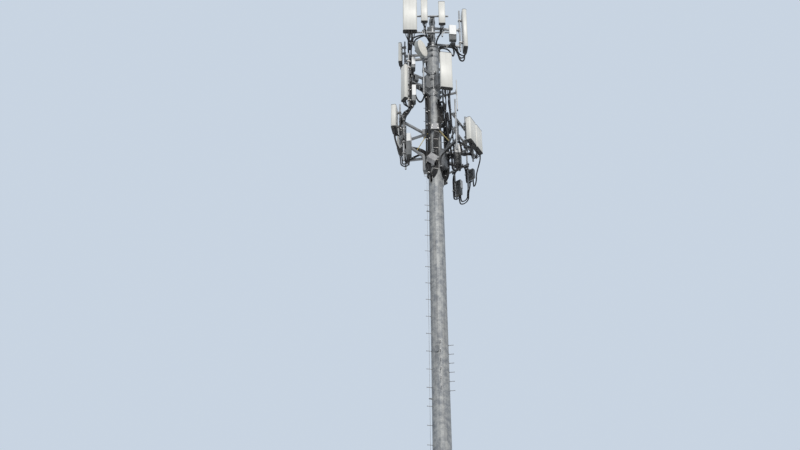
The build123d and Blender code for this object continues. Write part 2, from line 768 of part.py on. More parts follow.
def radio_shield(width, depth, height, cover):
    """A pale sun shield over the front, the sides and the top of a radio case."""
    low = height * (1 - cover)
    half = width / 2
    skin = SHIELD_THICK
    outer = block(-half - skin, half + skin, -depth, -RADIO_MARGIN, low, height + skin)
    return outer - block(-half, half, -depth + skin, 0, low, height)


def raised_rail_braces(reach, spread, z_root, z_rail, z_raised):
    """Posts and slanted braces that carry a second rail above the arms."""
    posts = []
    for side in (-1, 1):
        x = side * spread
        back = arm_end(reach)
        half = ARM_SIZE / 2
        post = block(x - half, x + half, -back, -back + BRACE_OD, z_rail, z_raised + ARM_SIZE)
        start = (side * (BRACKET_WIDTH / 2 - ARM_SIZE), -bracket_face(z_root), z_root)
        end = (x, -back, z_raised)
        posts.append(post + arm(start, end, BRACE_OD, BRACE_WALL) + end_plate(x, reach, z_raised))
    return posts


def right_frame():
    z = RIGHT_RAILS[0]
    frame = v_frame(RIGHT_BEARING, *LOW_BRACKET, RIGHT_REACH, RIGHT_SPREAD, z, z)
    for brace in raised_rail_braces(RIGHT_REACH, RIGHT_SPREAD, z, *RIGHT_RAILS):
        frame += brace
    return facing(RIGHT_BEARING) * frame


def back_frame():
    z = BACK_RAILS[0]
    frame = v_frame(BACK_BEARING, *LOW_BRACKET, BACK_REACH, BACK_SPREAD, z, z)
    for brace in raised_rail_braces(BACK_REACH, BACK_SPREAD, z, *BACK_RAILS):
        frame += brace
    return facing(BACK_BEARING) * frame


def left_frames():
    size = LEFT_REACH, LEFT_SPREAD
    lower = v_frame(LEFT_BEARING, *LOW_BRACKET, *size, LEFT_ROOT, LEFT_RAILS[0])
    upper = v_frame(LEFT_BEARING, *LOW_RING, *size, sum(LOW_RING) / 2, LEFT_RAILS[1])
    return [facing(LEFT_BEARING) * lower, facing(LEFT_BEARING) * upper]


def low_collars():
    splits = splits_between(LOW_BEARINGS)
    return [collar(*band, splits) for band in (*LOW_COLLAR, LOW_RING)]


def low_rails():
    return [
        facing(b) * rail(reach, *ends, z)
        for b, reach, rails, ends, pipes in LOW_SIDES
        for z in rails
    ]


def low_pipes():
    pipes = [
        facing(b) * upright(t, pipe_line(reach), z_low, z_high)
        for b, reach, rails, ends, spots in LOW_SIDES
        for t, z_low, z_high in spots
    ]
    t, z_low, z_high = LEFT_RADIO_PIPE
    pipes.append(facing(LEFT_BEARING) * upright(t, behind_line(LEFT_REACH), z_low, z_high))
    return pipes + [side_pipe(right_radio_seat(), *RIGHT_RADIO_PIPE)]


def low_crossovers():
    """Plates between rails and pipes, in front of each rail or behind it."""
    plates = [
        facing(b) * crossover(t, reach, z)
        for b, reach, rails, ends, pipes in LOW_SIDES
        for t, z_low, z_high in pipes
        for z in rails
    ]
    inward = 2 * (RAIL_OD / 2 + SADDLE_GAP) + CROSS_THICK
    behind = facing(LEFT_BEARING) * Pos(0, inward, 0)
    for z in LEFT_RAILS:
        plates.append(behind * crossover(LEFT_RADIO_PIPE[0], LEFT_REACH, z))
    return plates + [side_plate(right_radio_seat(), RIGHT_RAILS[0])]


def low_panels():
    """The square antennas of the lower level, with their caps and their pipe clamps."""
    return level_panels([
        (on_rail(bearing, reach, t), hung)
        for bearing, reach, panels in LOW_PANELS
        for t, hung in panels
    ])


def pipe_seat(line):
    """Radius of the back of an end plate that carries an upright pipe at radius line."""
    return line - PIPE_OD / 2 - SADDLE_GAP - CROSS_THICK


def straight_arm(start, stop, z, size):
    """A square arm along -Y with a plate on its end."""
    half = CROSS_PLATE / 2
    tube = square_tube((0, -start, z), (0, -stop, z), size, ARM_WALL)
    return tube + block(-half, half, -stop - CROSS_THICK, -stop, z - half, z + half)


def mid_frames():
    frames = []
    for bearing, line in MID_ARMS:
        frame = bracket(bearing, *MID_BRACKET)
        for z in MID_ARM_HEIGHTS:
            frame += straight_arm(bracket_face(MID_BRACKET[0]), pipe_seat(line), z, ARM_SIZE)
        frames.append(facing(bearing) * frame)
    return frames


def light_arm(bearing, line, band):
    """A short arm with a saddle plate that fits a single band."""
    z = sum(band) / 2
    half = LIGHT_ARM
    near = surface(z)
    arm_piece = straight_arm(near, pipe_seat(line), z, LIGHT_ARM)
    arm_piece += block(-half, half, -near - 3 * COLLAR_THICK, -near, z - half, z + half)
    return facing(bearing) * clear_of_collar(arm_piece, bearing, *band)


def dish_arms():
    return [light_arm(*DISH_ARM, band) for band in DISH_BANDS]


def whip_arm():
    bearing, line = WHIP_ARM
    return light_arm(bearing, line - WHIP_RADIUS + PIPE_OD / 2, DISH_BANDS[0])


def mid_collars():
    splits = splits_between([bearing for bearing, line in MID_ARMS])
    light = splits_between([DISH_ARM[0], WHIP_ARM[0]])
    return [collar(*b, splits) for b in MID_BANDS] + [collar(*b, light) for b in DISH_BANDS]


def mid_pipes():
    pipes = (*MID_PIPES, DISH_PIPE)
    return [facing(b) * upright(0, line, z_low, z_high) for b, line, z_low, z_high in pipes]


def whip():
    bearing, line = WHIP_ARM
    rod = Pos(0, -line, WHIP_BOTTOM + WHIP_TIP) * bar(WHIP_RADIUS, WHIP_TOP - WHIP_BOTTOM - WHIP_TIP)
    tip = Pos(0, -line, WHIP_BOTTOM) * bar(WHIP_RADIUS + WHIP_TIP_LIP, WHIP_TIP)
    return facing(bearing) * rod, facing(bearing) * tip


def on_pipe(bearing, line, turn, t=0.0):
    """Location of an upright pipe's axis, turned to face another bearing."""
    return facing(bearing) * Pos(t, -line, 0) * Rot(0, 0, turn - bearing)


def on_rail(bearing, reach, t):
    """Location of the axis of an upright pipe in front of a rail, facing outward."""
    return on_pipe(bearing, pipe_line(reach), bearing, t)


def top_hub(z, bearing, stop, size):
    """A split ring round the top pipe with one arm and its end plate."""
    inner = TOP_PIPE_OD / 2 + SADDLE_GAP
    outer = inner + HUB_WALL
    half = HUB_HEIGHT / 2
    ear = COLLAR_SLIT / 2 + EAR_THICK
    body = Pos(0, 0, z) * through(outer, HUB_HEIGHT, HUB_SIDES)
    body += block(-ear, ear, 0, outer + EAR_REACH, z - half, z + half)
    body += straight_arm(inner, stop, z, size)
    ear -= EAR_THICK
    body -= block(-ear, ear, 0, outer + 2 * EAR_REACH, z - 2 * half, z + 2 * half)
    body -= Pos(0, 0, z) * Rot(0, 0, -bearing) * through(inner, 2 * HUB_HEIGHT, HUB_SIDES)
    return facing(bearing) * body


def top_frames():
    frames = [top_hub(z, 0, arm_end(FRONT_RAIL_REACH), ARM_SIZE) for z in FRONT_RAIL_HEIGHTS]
    frames += [top_hub(z, TOP_RIGHT[0], pipe_seat(TOP_RIGHT[1]), ARM_SIZE) for z in RIGHT_ARM_HEIGHTS]
    bearing, line = TOP_LEFT
    frame = bracket(bearing, *TOP_BRACKET)
    for z in TOP_ARM_HEIGHTS:
        frame += straight_arm(bracket_face(TOP_BRACKET[0]), pipe_seat(line), z, ARM_SIZE)
    return frames + [facing(bearing) * frame]


def top_collars():
    return [collar(*band, splits_between([TOP_LEFT[0], TOP_LEFT[0] + 180])) for band in TOP_BANDS]


def top_rails():
    return [rail(FRONT_RAIL_REACH, *FRONT_RAIL_ENDS, z) for z in FRONT_RAIL_HEIGHTS]


def top_crossovers():
    plates = [
        crossover(pipe[0], FRONT_RAIL_REACH, z)
        for pipe in FRONT_PIPES
        for z in FRONT_RAIL_HEIGHTS
    ]
    return plates + [side_plate(top_radio_seat(), z) for z in RIGHT_ARM_HEIGHTS]


def top_pipes():
    pipes = [upright(t, pipe_line(FRONT_RAIL_REACH), z_low, z_high) for t, z_low, z_high in FRONT_PIPES]
    for b, line, z_low, z_high in (TOP_RIGHT_PIPE, TOP_LEFT_PIPE):
        pipes.append(facing(b) * upright(0, line, z_low, z_high))
    return pipes + [side_pipe(top_radio_seat(), *TOP_RADIO_PIPE)]


def level_panels(panels):
    """Antennas hung on pipes: their covers, their caps and their clamps."""
    covers = []
    caps = []
    clamps = []
    for seat, (size, z, heights, count) in panels:
        place = seat * Pos(0, -CLAMP_REACH, z)
        covers.append(place * radome(*size))
        caps += [place * cap for cap in radome_caps(*size, count)]
        clamps += [seat * clamp(height) for height in heights]
    return covers, caps, clamps


def mid_panels():
    return level_panels((
        (on_pipe(*MID_FRONT, FRONT_TURN), MID_FRONT_PANEL),
        (on_pipe(*MID_LEFT, MID_LEFT[0]), MID_LEFT_PANEL),
        (on_pipe(*MID_BACK, MID_BACK[0]), MID_BACK_PANEL),
    ))


def top_panels():
    front = [
        (on_rail(0, FRONT_RAIL_REACH, pipe[0]), hung)
        for pipe, hung in zip(FRONT_PIPES, TOP_FRONT_PANELS)
    ]
    return level_panels(front + [
        (on_pipe(*TOP_RIGHT, TOP_RIGHT[0]), TOP_RIGHT_PANEL),
        (on_pipe(*TOP_LEFT, TOP_LEFT[0]), TOP_LEFT_PANEL),
    ])


def radio(seat, kind, z, heights):
    """A radio hung on a pipe: its finned case, its sun shield and its clamps."""
    width, depth, height, cover = kind
    place = seat * Pos(0, -CLAMP_REACH, z)
    case = place * radio_body(width, depth, height)
    shield = [place * radio_shield(width, depth, height, cover)] if cover else []
    return case, shield, [seat * clamp(at) for at in heights]


def behind_line(reach):
    """Radius of an upright pipe's axis behind a rail at radius reach."""
    return reach - RAIL_OD / 2 - CROSS_THICK - 2 * SADDLE_GAP - PIPE_OD / 2


def left_radio_seat():
    return on_pipe(LEFT_BEARING, behind_line(LEFT_REACH), LEFT_BEARING + 180, LEFT_RADIO_PIPE[0])


def side_line():
    """How far a pipe beside an arm stands from the arm's axis."""
    return ARM_SIZE / 2 + CROSS_THICK + 2 * SADDLE_GAP + PIPE_OD / 2


def arm_seat(bearing, start, end, along):
    """Spot on an arm's axis, with X along the arm, so that -Y is the arm's near side."""
    spot = Vector(*start) + (Vector(*end) - Vector(*start)) * along
    lean = atan2(end[1] - start[1], end[0] - start[0])
    return facing(bearing) * Pos(spot.X, spot.Y, 0) * Rot(0, 0, degrees(lean))


def right_radio_seat():
    start = (BRACKET_WIDTH / 2 - ARM_SIZE, -bracket_face(LOW_BRACKET[0]), 0)
    end = (RIGHT_SPREAD, -arm_end(RIGHT_REACH), 0)
    return arm_seat(RIGHT_BEARING, start, end, RIGHT_RADIO_ALONG)


def top_radio_seat():
    bearing, line = TOP_RIGHT
    return arm_seat(bearing, (0, 0, 0), (0, -line, 0), TOP_RADIO_ALONG)


def beside_arm(seat):
    """Location of the axis of a pipe that stands beside an arm, from a spot on the arm."""
    return seat * Pos(0, -side_line(), 0)


def side_pipe(seat, z_low, z_high):
    return beside_arm(seat) * upright(0, 0, z_low, z_high)


def side_plate(seat, z):
    half = CROSS_PLATE / 2
    near = ARM_SIZE / 2 + SADDLE_GAP
    return seat * block(-half, half, -near - CROSS_THICK, -near, z - half, z + half)


def low_radios():
    sets = [radio(left_radio_seat(), *LEFT_RADIO)]
    sets += [radio(on_rail(BACK_BEARING, BACK_REACH, t), *hung) for t, hung in BACK_RADIOS]
    return sets + [radio(beside_arm(right_radio_seat()), *RIGHT_RADIO)]


def mid_radios():
    seat = on_pipe(*MID_LEFT, MID_RADIO_TURN)
    return [radio(seat, *hung) for hung in MID_RADIOS]


def top_radios():
    return [radio(beside_arm(top_radio_seat()), *TOP_RADIO)]


def boxes():
    """The junction box under an arm and the breakout box above the riser cables."""
    width, depth, height = JUNCTION_BOX
    top = MID_ARM_HEIGHTS[1] - ARM_SIZE / 2 - SADDLE_GAP
    junction = extrude(rounded(width, depth, BOX_CORNER), height)
    junction = facing(MID_LEFT[0]) * Pos(0, -JUNCTION_SPOT, top - height) * junction
    width, depth, height = BREAKOUT_BOX
    breakout = extrude(rounded(width, depth, BOX_CORNER), height)
    return [junction, facing(RISER_BEARING) * Pos(0, -RISER_LINE, BREAKOUT_FOOT) * breakout]


def dish_seat():
    return Pos(*DISH_CENTRE) * Rot(0, 0, DISH_TURN)


def ringed(rings):
    """A solid with flat sides about the axis Y, through rings given as radius and y."""
    faces = [
        Plane(origin=(0, y, 0), x_dir=(1, 0, 0), z_dir=(0, 1, 0))
        * RegularPolygon(radius, DISH_SIDES, major_radius=False)
        for radius, y in rings
    ]
    return loft(faces, ruled=True)


def dish_form(rim, front, back):
    """The drum and the dished back behind it, which ends in a flat for the hub."""
    deep = back - DISH_DRUM
    curve = [(rim * cos(radians(a)), DISH_DRUM + deep * sin(radians(a))) for a in DISH_RINGS]
    return ringed([(rim, front), *curve, (DISH_FLAT, back)])


def dish_shell():
    """The drum and dished back as one shell, about the axis that faces -Y."""
    back = DISH_DRUM + DISH_BACK
    outside = dish_form(DISH_RADIUS, DISH_COVER, back)
    hollow = dish_form(DISH_RADIUS - DISH_SHELL, 0, back - DISH_SHELL)
    hub = Plane(origin=(0, back - DISH_SHELL, 0), z_dir=(0, 1, 0)) * bar(DISH_HUB, DISH_HUB_LENGTH)
    return dish_seat() * (outside - hollow + hub)


def dish_cover():
    """The flat weather cover, with its front edge eased."""
    rings = ((DISH_RADIUS - DISH_EDGE, 0), (DISH_RADIUS, DISH_EDGE), (DISH_RADIUS, DISH_COVER))
    return dish_seat() * ringed(rings)


def dish_mount():
    """A beam behind the dish that reaches out to a clamp on the upright pipe."""
    bearing, line = DISH_ARM
    pipe = (facing(bearing) * Pos(0, -line, 0)).position
    local = dish_seat().inverse() * Pos(pipe.X, pipe.Y, DISH_CENTRE[2])
    x, y = local.position.X, local.position.Y
    near = DISH_DRUM + DISH_BACK - DISH_SHELL + DISH_HUB_LENGTH
    half = DISH_BEAM / 2
    beam = block(-DISH_BEAM, x, near, near + DISH_BEAM, -half, half)
    wide = PIPE_OD / 2 + STRAP_THICK
    beam += block(x - wide, x + wide, y - wide / 2, near + DISH_BEAM, -DISH_BEAM, DISH_BEAM)
    pipe = through(PIPE_OD / 2 + SADDLE_GAP, 4 * DISH_BEAM)
    beam -= Pos(x, y, 0) * Rot(0, 0, bearing - DISH_TURN) * pipe
    return dish_seat() * beam


def solid_bar(start, end, size):
    """The room that a square arm takes up, with a seating gap all round."""
    run = Vector(*end) - Vector(*start)
    seat = Plane(origin=start, x_dir=Vector(0, 0, 1).cross(run), z_dir=run)
    grown = size + 2 * SADDLE_GAP
    return seat * Box(grown, grown, run.length, align=ON_FOOT)


def ties():
    """Round rods from the tie ring down to the members of the lower frames."""
    rods = []
    for bearing, head_turn, side, reach, spread, z_root, z_end, size in TIES:
        start = (side * (BRACKET_WIDTH / 2 - ARM_SIZE), -bracket_face(LOW_BRACKET[0]), z_root)
        end = (side * spread, -arm_end(reach), z_end)
        foot = Vector(*start) + (Vector(*end) - Vector(*start)) * TIE_ALONG
        head = facing(head_turn) * Pos(0, -surface(TIE_TOP), TIE_TOP)
        run = foot - head.position
        rod = Plane(origin=head.position, z_dir=run) * bar(TIE_RADIUS, run.length, BAR_SIDES)
        rod = (rod - solid_bar(start, end, size)).solids().sort_by(Axis.Z)[-1]
        rods.append(facing(bearing) * clear_of_collar(rod, bearing, *LOW_RING))
    return rods


def bend_radii(points):
    """Tangent bends that use a fixed share of the shorter run at each corner."""
    radii = []
    for a, b, c in zip(points, points[1:], points[2:]):
        first = Vector(*b) - Vector(*a)
        second = Vector(*c) - Vector(*b)
        turn = radians(first.get_angle(second))
        radii.append(BEND_SHARE * min(first.length, second.length) / tan(turn / 2))
    return radii


def cable(points, radius):
    """A cable of straight runs joined by tangent arcs, of the same section as a round one."""
    path = FilletPolyline(*points, radius=bend_radii(points))
    start = Plane(origin=points[0], x_dir=(1, 0, 0), z_dir=Vector(*points[1]) - Vector(*points[0]))
    return sweep(start * cable_section(radius), path=path)


def cable_section(radius):
    corner = radius * sqrt(2 * pi / (BAR_SIDES * sin(2 * pi / BAR_SIDES)))
    return RegularPolygon(corner, BAR_SIDES)


def riser_offsets():
    return [(i - (RISER_COUNT - 1) / 2) * RISER_PITCH for i in range(RISER_COUNT)]


def risers():
    """Cables that leave a port side by side and climb to the breakout box."""
    cables = []
    for i, offset in enumerate(riser_offsets()):
        drop = RISER_ROW if i % 2 == 0 else 0
        row = RISER_PORT - drop
        points = [
            (offset * RISER_SQUEEZE, -RISER_INSIDE, row - 2 * RISER_SLOPE),
            (offset * RISER_SQUEEZE, -RISER_LINE + 2 * RISER_SLOPE, row - RISER_SLOPE),
            (offset, -RISER_LINE, RISER_TURN - drop),
            (offset, -RISER_LINE, BREAKOUT_FOOT),
        ]
        cables.append(facing(RISER_BEARING) * cable(points, RISER_RADIUS))
    return cables


def shaft_bar(half_width, far, z):
    """A bar that stands out from the shaft at the risers' bearing, cut to its flats."""
    half = HANGER_THICK / 2
    body = block(-half_width, half_width, -far, -surface(z) / 2, z - half, z + half)
    core = frustum(z - HANGER_THICK, z + HANGER_THICK, section_at(z), SADDLE_GAP)
    return body - facing(-RISER_BEARING) * core


def hangers():
    """Bars on the shaft that hold the riser cables apart, and the breakout box's two feet."""
    bars = []
    far = RISER_LINE + RISER_RADIUS + HANGER_MARGIN
    hole = extrude(cable_section(RISER_RADIUS + SADDLE_GAP), HANGER_THICK, both=True)
    for z in HANGER_HEIGHTS:
        hanger = shaft_bar(HANGER_HALF, far, z)
        for offset in riser_offsets():
            hanger -= Pos(offset, -RISER_LINE, z) * hole
        bars.append(facing(RISER_BEARING) * hanger)
    width, depth, height = BREAKOUT_BOX
    for share in BREAKOUT_FEET:
        foot = shaft_bar(width / 4, RISER_LINE - depth / 2, BREAKOUT_FOOT + share * height)
        bars.append(facing(RISER_BEARING) * foot)
    return bars


def socket_end(seat, width, depth, z, count, index):
    """Lower end of a cable socket under a case that hangs on a pipe."""
    x = socket_spots(width, count)[index]
    return (seat * Pos(x, -CLAMP_REACH - depth / 2, z - SOCKET_LENGTH - SADDLE_GAP)).position


def panel_socket(seat, hung, index):
    size, z, heights, count = hung
    return socket_end(seat, *size[:2], z, count, index)


def radio_socket(seat, hung, index):
    kind, z, heights = hung
    return socket_end(seat, kind[0], radio_core(kind[1]), z, RADIO_SOCKETS, index)


def hanging(head, end, bend, steps):
    """Route that goes on from a head of points, hangs down and turns up into a socket."""
    start = head[-1]
    across = Vector(end.X - start.X, end.Y - start.Y, 0)
    line = across.normalized()
    near = across.length - 2 * bend
    centre = end.Z - LOOP_RISE * bend
    cut = bend * tan(radians(LOOP_CORNER / 2))
    points = [tuple(p) for p in head]

    def add(distance, z):
        points.append((start.X + line.X * distance, start.Y + line.Y * distance, z))

    for i in range(1, steps + 1):
        share = i / steps
        add(near * share**2 * (3 - 2 * share), start.Z + (centre + cut - start.Z) * share)
    add(near, centre - cut)
    add(near + bend - cut, centre - bend)
    add(near + bend + cut, centre - bend)
    add(across.length, centre - cut)
    return points + [tuple(end)]


def jumper_ends():
    """The two sockets that each jumper joins, by the jumper's name."""
    left = panel_on(LEFT_BEARING, LEFT_REACH, LEFT_PANELS[0])
    right = panel_on(RIGHT_BEARING, RIGHT_REACH, RIGHT_PANELS[1])
    grey = on_rail(BACK_BEARING, BACK_REACH, BACK_RADIOS[0][0]), BACK_RADIOS[0][1]
    large = on_rail(BACK_BEARING, BACK_REACH, BACK_RADIOS[1][0]), BACK_RADIOS[1][1]
    left_radio = left_radio_seat(), LEFT_RADIO
    right_radio = beside_arm(right_radio_seat()), RIGHT_RADIO
    top_radio = beside_arm(top_radio_seat()), TOP_RADIO
    mid_radio = on_pipe(*MID_LEFT, MID_RADIO_TURN), MID_RADIOS[0]
    top_left = on_pipe(*TOP_LEFT, TOP_LEFT[0]), TOP_LEFT_PANEL
    top_right = on_pipe(*TOP_RIGHT, TOP_RIGHT[0]), TOP_RIGHT_PANEL
    front = on_pipe(*MID_FRONT, FRONT_TURN), MID_FRONT_PANEL
    return {
        "jumper_left_outer": (panel_socket(*left, 3), radio_socket(*left_radio, 3)),
        "jumper_left_inner": (panel_socket(*left, 1), radio_socket(*left_radio, 0)),
        "jumper_right": (panel_socket(*right, 3), radio_socket(*grey, 0)),
        "jumper_back_outer": (radio_socket(*grey, 2), radio_socket(*large, 1)),
        "jumper_back_inner": (radio_socket(*grey, 3), radio_socket(*large, 0)),
        "jumper_top_left": (panel_socket(*top_left, 2), radio_socket(*mid_radio, 1)),
        "jumper_top_right": (radio_socket(*top_radio, 2), panel_socket(*top_right, 1)),
        "jumper_middle": (panel_socket(*front, 4), radio_socket(*right_radio, 1)),
    }


def panel_on(bearing, reach, spot):
    """An antenna of the lower level: where its pipe stands and what hangs there."""
    t, hung = spot
    return on_rail(bearing, reach, t), hung


def from_port(side):
    """Start of a cable that comes out of its port and bends down, beside the port's middle."""
    bearing, z = CABLE_PORTS[TRUNK_PORT]
    steps = [Pos(side, -surface(z) - out, z + rise) for out, rise in TRUNK_EXIT]
    return [(facing(bearing) * step).position for step in steps]


def cords():
    """Free cables by name: their routes and radii."""
    routes = {}
    for name, (start, end) in jumper_ends().items():
        head = [start, start - Vector(0, 0, LEADS[name])]
        routes[name] = (hanging(head, end, *LOOPS[name]), JUMPER_RADIUS)
    trunk_ends = {
        "trunk_front": radio_socket(beside_arm(right_radio_seat()), RIGHT_RADIO, 3),
        "trunk_right": panel_socket(*panel_on(RIGHT_BEARING, RIGHT_REACH, RIGHT_PANELS[0]), 1),
    }
    for name, end in trunk_ends.items():
        head = from_port(TRUNK_SIDES[name])
        routes[name] = (hanging(head, end, *LOOPS[name]), TRUNK_RADIUS)
    return routes


def check_cord(name, points, radius, solid):
    """Print a cord's bends and compare its volume with its section times its length."""
    radii = bend_radii(points)
    path = FilletPolyline(*points, radius=radii)
    runs = [(Vector(*b) - Vector(*a)).length for a, b in zip(points, points[1:])]
    ratio = solid.volume / (pi * radius**2 * path.length)
    print(
        name, "length", round(path.length), "radius over diameter", round(min(radii) / radius / 2, 1),
        "longest run over diameter", round(max(runs) / radius / 2, 1),
        "uneven runs", round(max(max(a / b, b / a) for a, b in zip(runs, runs[1:])), 2),
        "volume ratio", round(ratio, 4),
    )
    print("  ", [tuple(round(v, 1) for v in p) for p in points])


def save(name, shape):
    pieces = shape if isinstance(shape, list) else [shape]
    solids = [s for p in pieces for s in p.solids()]
    export_step(Compound(children=solids), f"parts/{name}.step")


def main():
    os.makedirs("parts", exist_ok=True)
    save("base_flange", base_flange())
    save("shaft_lower", shaft_section(0, FLANGE_THICK, LOWER_TOP, LOWER_WALL))
    save("shaft_middle", shaft_section(1, MIDDLE_BOTTOM, MIDDLE_TOP, MIDDLE_WALL))
    save("shaft_upper", shaft_section(2, UPPER_BOTTOM, SHAFT_TOP, UPPER_WALL))
    save("port_rims", port_rims())
    save("port_covers", port_covers())
    save("shaft_cap", shaft_cap())
    save("top_pipe", top_pipe())
    save("step_pegs", step_pegs())
    save("climb_cable", climb_cable())
    save("climb_guides", climb_guides())
    save("low_collars", low_collars())
    save("low_frames", [right_frame(), back_frame(), *left_frames()])
    save("low_rails", low_rails())
    save("low_pipes", low_pipes())
    save("low_crossovers", low_crossovers())
    covers, caps, clamps = low_panels()
    cases, shields, holds = zip(*low_radios())
    save("low_radomes", covers)
    save("low_radome_caps", caps)
    save("low_radios", list(cases))
    save("low_shields", sum(shields, []))
    save("low_clamps", clamps + sum(holds, []))
    save("low_ties", ties())
    save("mid_collars", mid_collars())
    save("mid_frames", mid_frames())
    save("light_arms", dish_arms() + [whip_arm()])
    save("mid_pipes", mid_pipes())
    rod, tip = whip()
    save("whip_rod", rod)
    save("whip_tip", tip)
    covers, caps, clamps = mid_panels()
    cases, shields, holds = zip(*mid_radios())
    save("mid_radomes", covers)
    save("mid_radome_caps", caps)
    save("mid_radios", list(cases))
    save("mid_shields", sum(shields, []))
    save("mid_clamps", clamps + sum(holds, []))
    save("junction_boxes", boxes())
    save("dish_shell", dish_shell())
    save("dish_cover", dish_cover())
    save("dish_mount", dish_mount())
    save("riser_cables", risers())
    save("cable_hangers", hangers())
    save("top_collars", top_collars())
    save("top_frames", top_frames())
    save("top_rails", top_rails())
    save("top_crossovers", top_crossovers())
    save("top_pipes", top_pipes())
    covers, caps, clamps = top_panels()
    cases, shields, holds = zip(*top_radios())
    save("top_radomes", covers)
    save("top_radome_caps", caps)
    save("top_radios", list(cases))
    save("top_shields", sum(shields, []))
    save("top_clamps", clamps + sum(holds, []))
    for name, (points, radius) in cords().items():
        solid = cable(points, radius)
        check_cord(name, points, radius, solid)
        save(name, solid)


main()
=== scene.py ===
# A galvanised steel cell tower: a tall tapered shaft that carries antennas, radios,
# a dish and their cables on three levels of pipe frames and stand-off arms.
from math import atan2, cos, pi, radians, sin
from random import Random

import bmesh
import bpy
from mathutils import Matrix, Vector


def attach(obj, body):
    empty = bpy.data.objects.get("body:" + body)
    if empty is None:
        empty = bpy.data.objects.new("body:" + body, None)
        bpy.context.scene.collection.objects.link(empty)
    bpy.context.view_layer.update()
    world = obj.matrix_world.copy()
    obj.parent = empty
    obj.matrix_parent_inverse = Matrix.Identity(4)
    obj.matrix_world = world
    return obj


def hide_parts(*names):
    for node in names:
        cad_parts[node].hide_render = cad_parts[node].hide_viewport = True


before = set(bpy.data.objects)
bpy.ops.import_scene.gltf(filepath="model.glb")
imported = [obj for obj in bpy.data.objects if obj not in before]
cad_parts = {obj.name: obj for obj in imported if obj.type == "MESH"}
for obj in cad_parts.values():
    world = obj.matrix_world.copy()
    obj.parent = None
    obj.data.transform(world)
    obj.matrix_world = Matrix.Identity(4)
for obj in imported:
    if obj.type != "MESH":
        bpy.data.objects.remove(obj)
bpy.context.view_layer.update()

# The camera stands on the ground some thirty metres from the mast and looks up at it,
# as the photograph was taken.
CAMERA_PLACE = (-1.25, -30.0, 1.6)
CAMERA_PITCH = 35.5
CAMERA_LENS = 48.96
CAMERA_FILM = 36
CAMERA_SIGHT = 500


def placed(name, data):
    """A new object in the scene that shows this data."""
    made = bpy.data.objects.new(name, data)
    bpy.context.collection.objects.link(made)
    return made


camera = placed("camera", bpy.data.cameras.new("camera"))
camera.location = CAMERA_PLACE
camera.rotation_euler = (radians(90 + CAMERA_PITCH), 0, 0)
camera.data.lens = CAMERA_LENS
camera.data.sensor_width = CAMERA_FILM
camera.data.clip_end = CAMERA_SIGHT
bpy.context.scene.camera = camera
bpy.context.scene.view_settings.view_transform = "Standard"

# Soft daylight as in a large studio: a broad lamp from the front right and a pale surround
# that fills the shadows. The floor is a plain pale sheet that keeps the mast's shadow.
LAMP_STRENGTH = 2.1
LAMP_ANGLE = 14
LAMP_TURN = (50, 0, 10)
LAMP_COLOUR = (1.0, 0.97, 0.93)
FILL_COLOUR = (0.80, 0.88, 1.0, 1)
FILL_STRENGTH = 0.36
BACKDROP = (0.58, 0.66, 0.76, 1)
FLOOR_COLOUR = (0.80, 0.80, 0.79, 1)
FLOOR_ROUGHNESS = 0.9
FLOOR_RADIUS = 400.0
FLOOR_SIDES = 128
FLOOR_DROP = 0.002


def node(tree, kind, sockets=(), **settings):
    """A node with its settings, its values and its links from other nodes' sockets."""
    made = tree.nodes.new(kind)
    for key, value in settings.items():
        setattr(made, key, value)
    for key, value in dict(sockets).items():
        if isinstance(value, bpy.types.NodeSocket):
            tree.links.new(value, made.inputs[key])
        else:
            made.inputs[key].default_value = value
    return made


def calc(tree, kind, first, second):
    """One sum on two values."""
    return node(tree, "ShaderNodeMath", {0: first, 1: second}, operation=kind).outputs[0]


lamp = placed("lamp", bpy.data.lights.new("lamp", "SUN"))
lamp.rotation_euler = [radians(a) for a in LAMP_TURN]
lamp.data.energy = LAMP_STRENGTH
lamp.data.angle = radians(LAMP_ANGLE)
lamp.data.color = LAMP_COLOUR

world = bpy.data.worlds.new("surround")
world.use_nodes = True
bpy.context.scene.world = world
sky = world.node_tree
sky.nodes.clear()
ray = node(sky, "ShaderNodeLightPath").outputs
seen = calc(sky, "MAXIMUM", ray["Is Camera Ray"], ray["Is Glossy Ray"])
seen = calc(sky, "MAXIMUM", seen, ray["Is Transmission Ray"])
fill = node(sky, "ShaderNodeBackground", {"Color": FILL_COLOUR, "Strength": FILL_STRENGTH})
backdrop = node(sky, "ShaderNodeBackground", {"Color": BACKDROP, "Strength": 1.0})
mixed = node(sky, "ShaderNodeMixShader", {0: seen, 1: fill.outputs[0], 2: backdrop.outputs[0]})
node(sky, "ShaderNodeOutputWorld", {"Surface": mixed.outputs[0]})

sheet = bmesh.new()
floor_seat = Matrix.Translation((0, 0, -FLOOR_DROP))
bmesh.ops.create_circle(sheet, cap_ends=True, segments=FLOOR_SIDES, radius=FLOOR_RADIUS, matrix=floor_seat)
floor_mesh = bpy.data.meshes.new("floor")
sheet.to_mesh(floor_mesh)
sheet.free()
floor = placed("floor", floor_mesh)
pale = bpy.data.materials.new("pale_floor")
pale.use_nodes = True
pale.node_tree.nodes["Principled BSDF"].inputs["Base Color"].default_value = FLOOR_COLOUR
pale.node_tree.nodes["Principled BSDF"].inputs["Roughness"].default_value = FLOOR_ROUGHNESS
floor.data.materials.append(pale)

# The free antenna cables: round copper and foam cables in black polyethylene jackets. Each
# leaves a socket or a port, hangs down under its own weight and turns up into its socket.
JUMPER_ACROSS = 0.022
TRUNK_ACROSS = 0.034
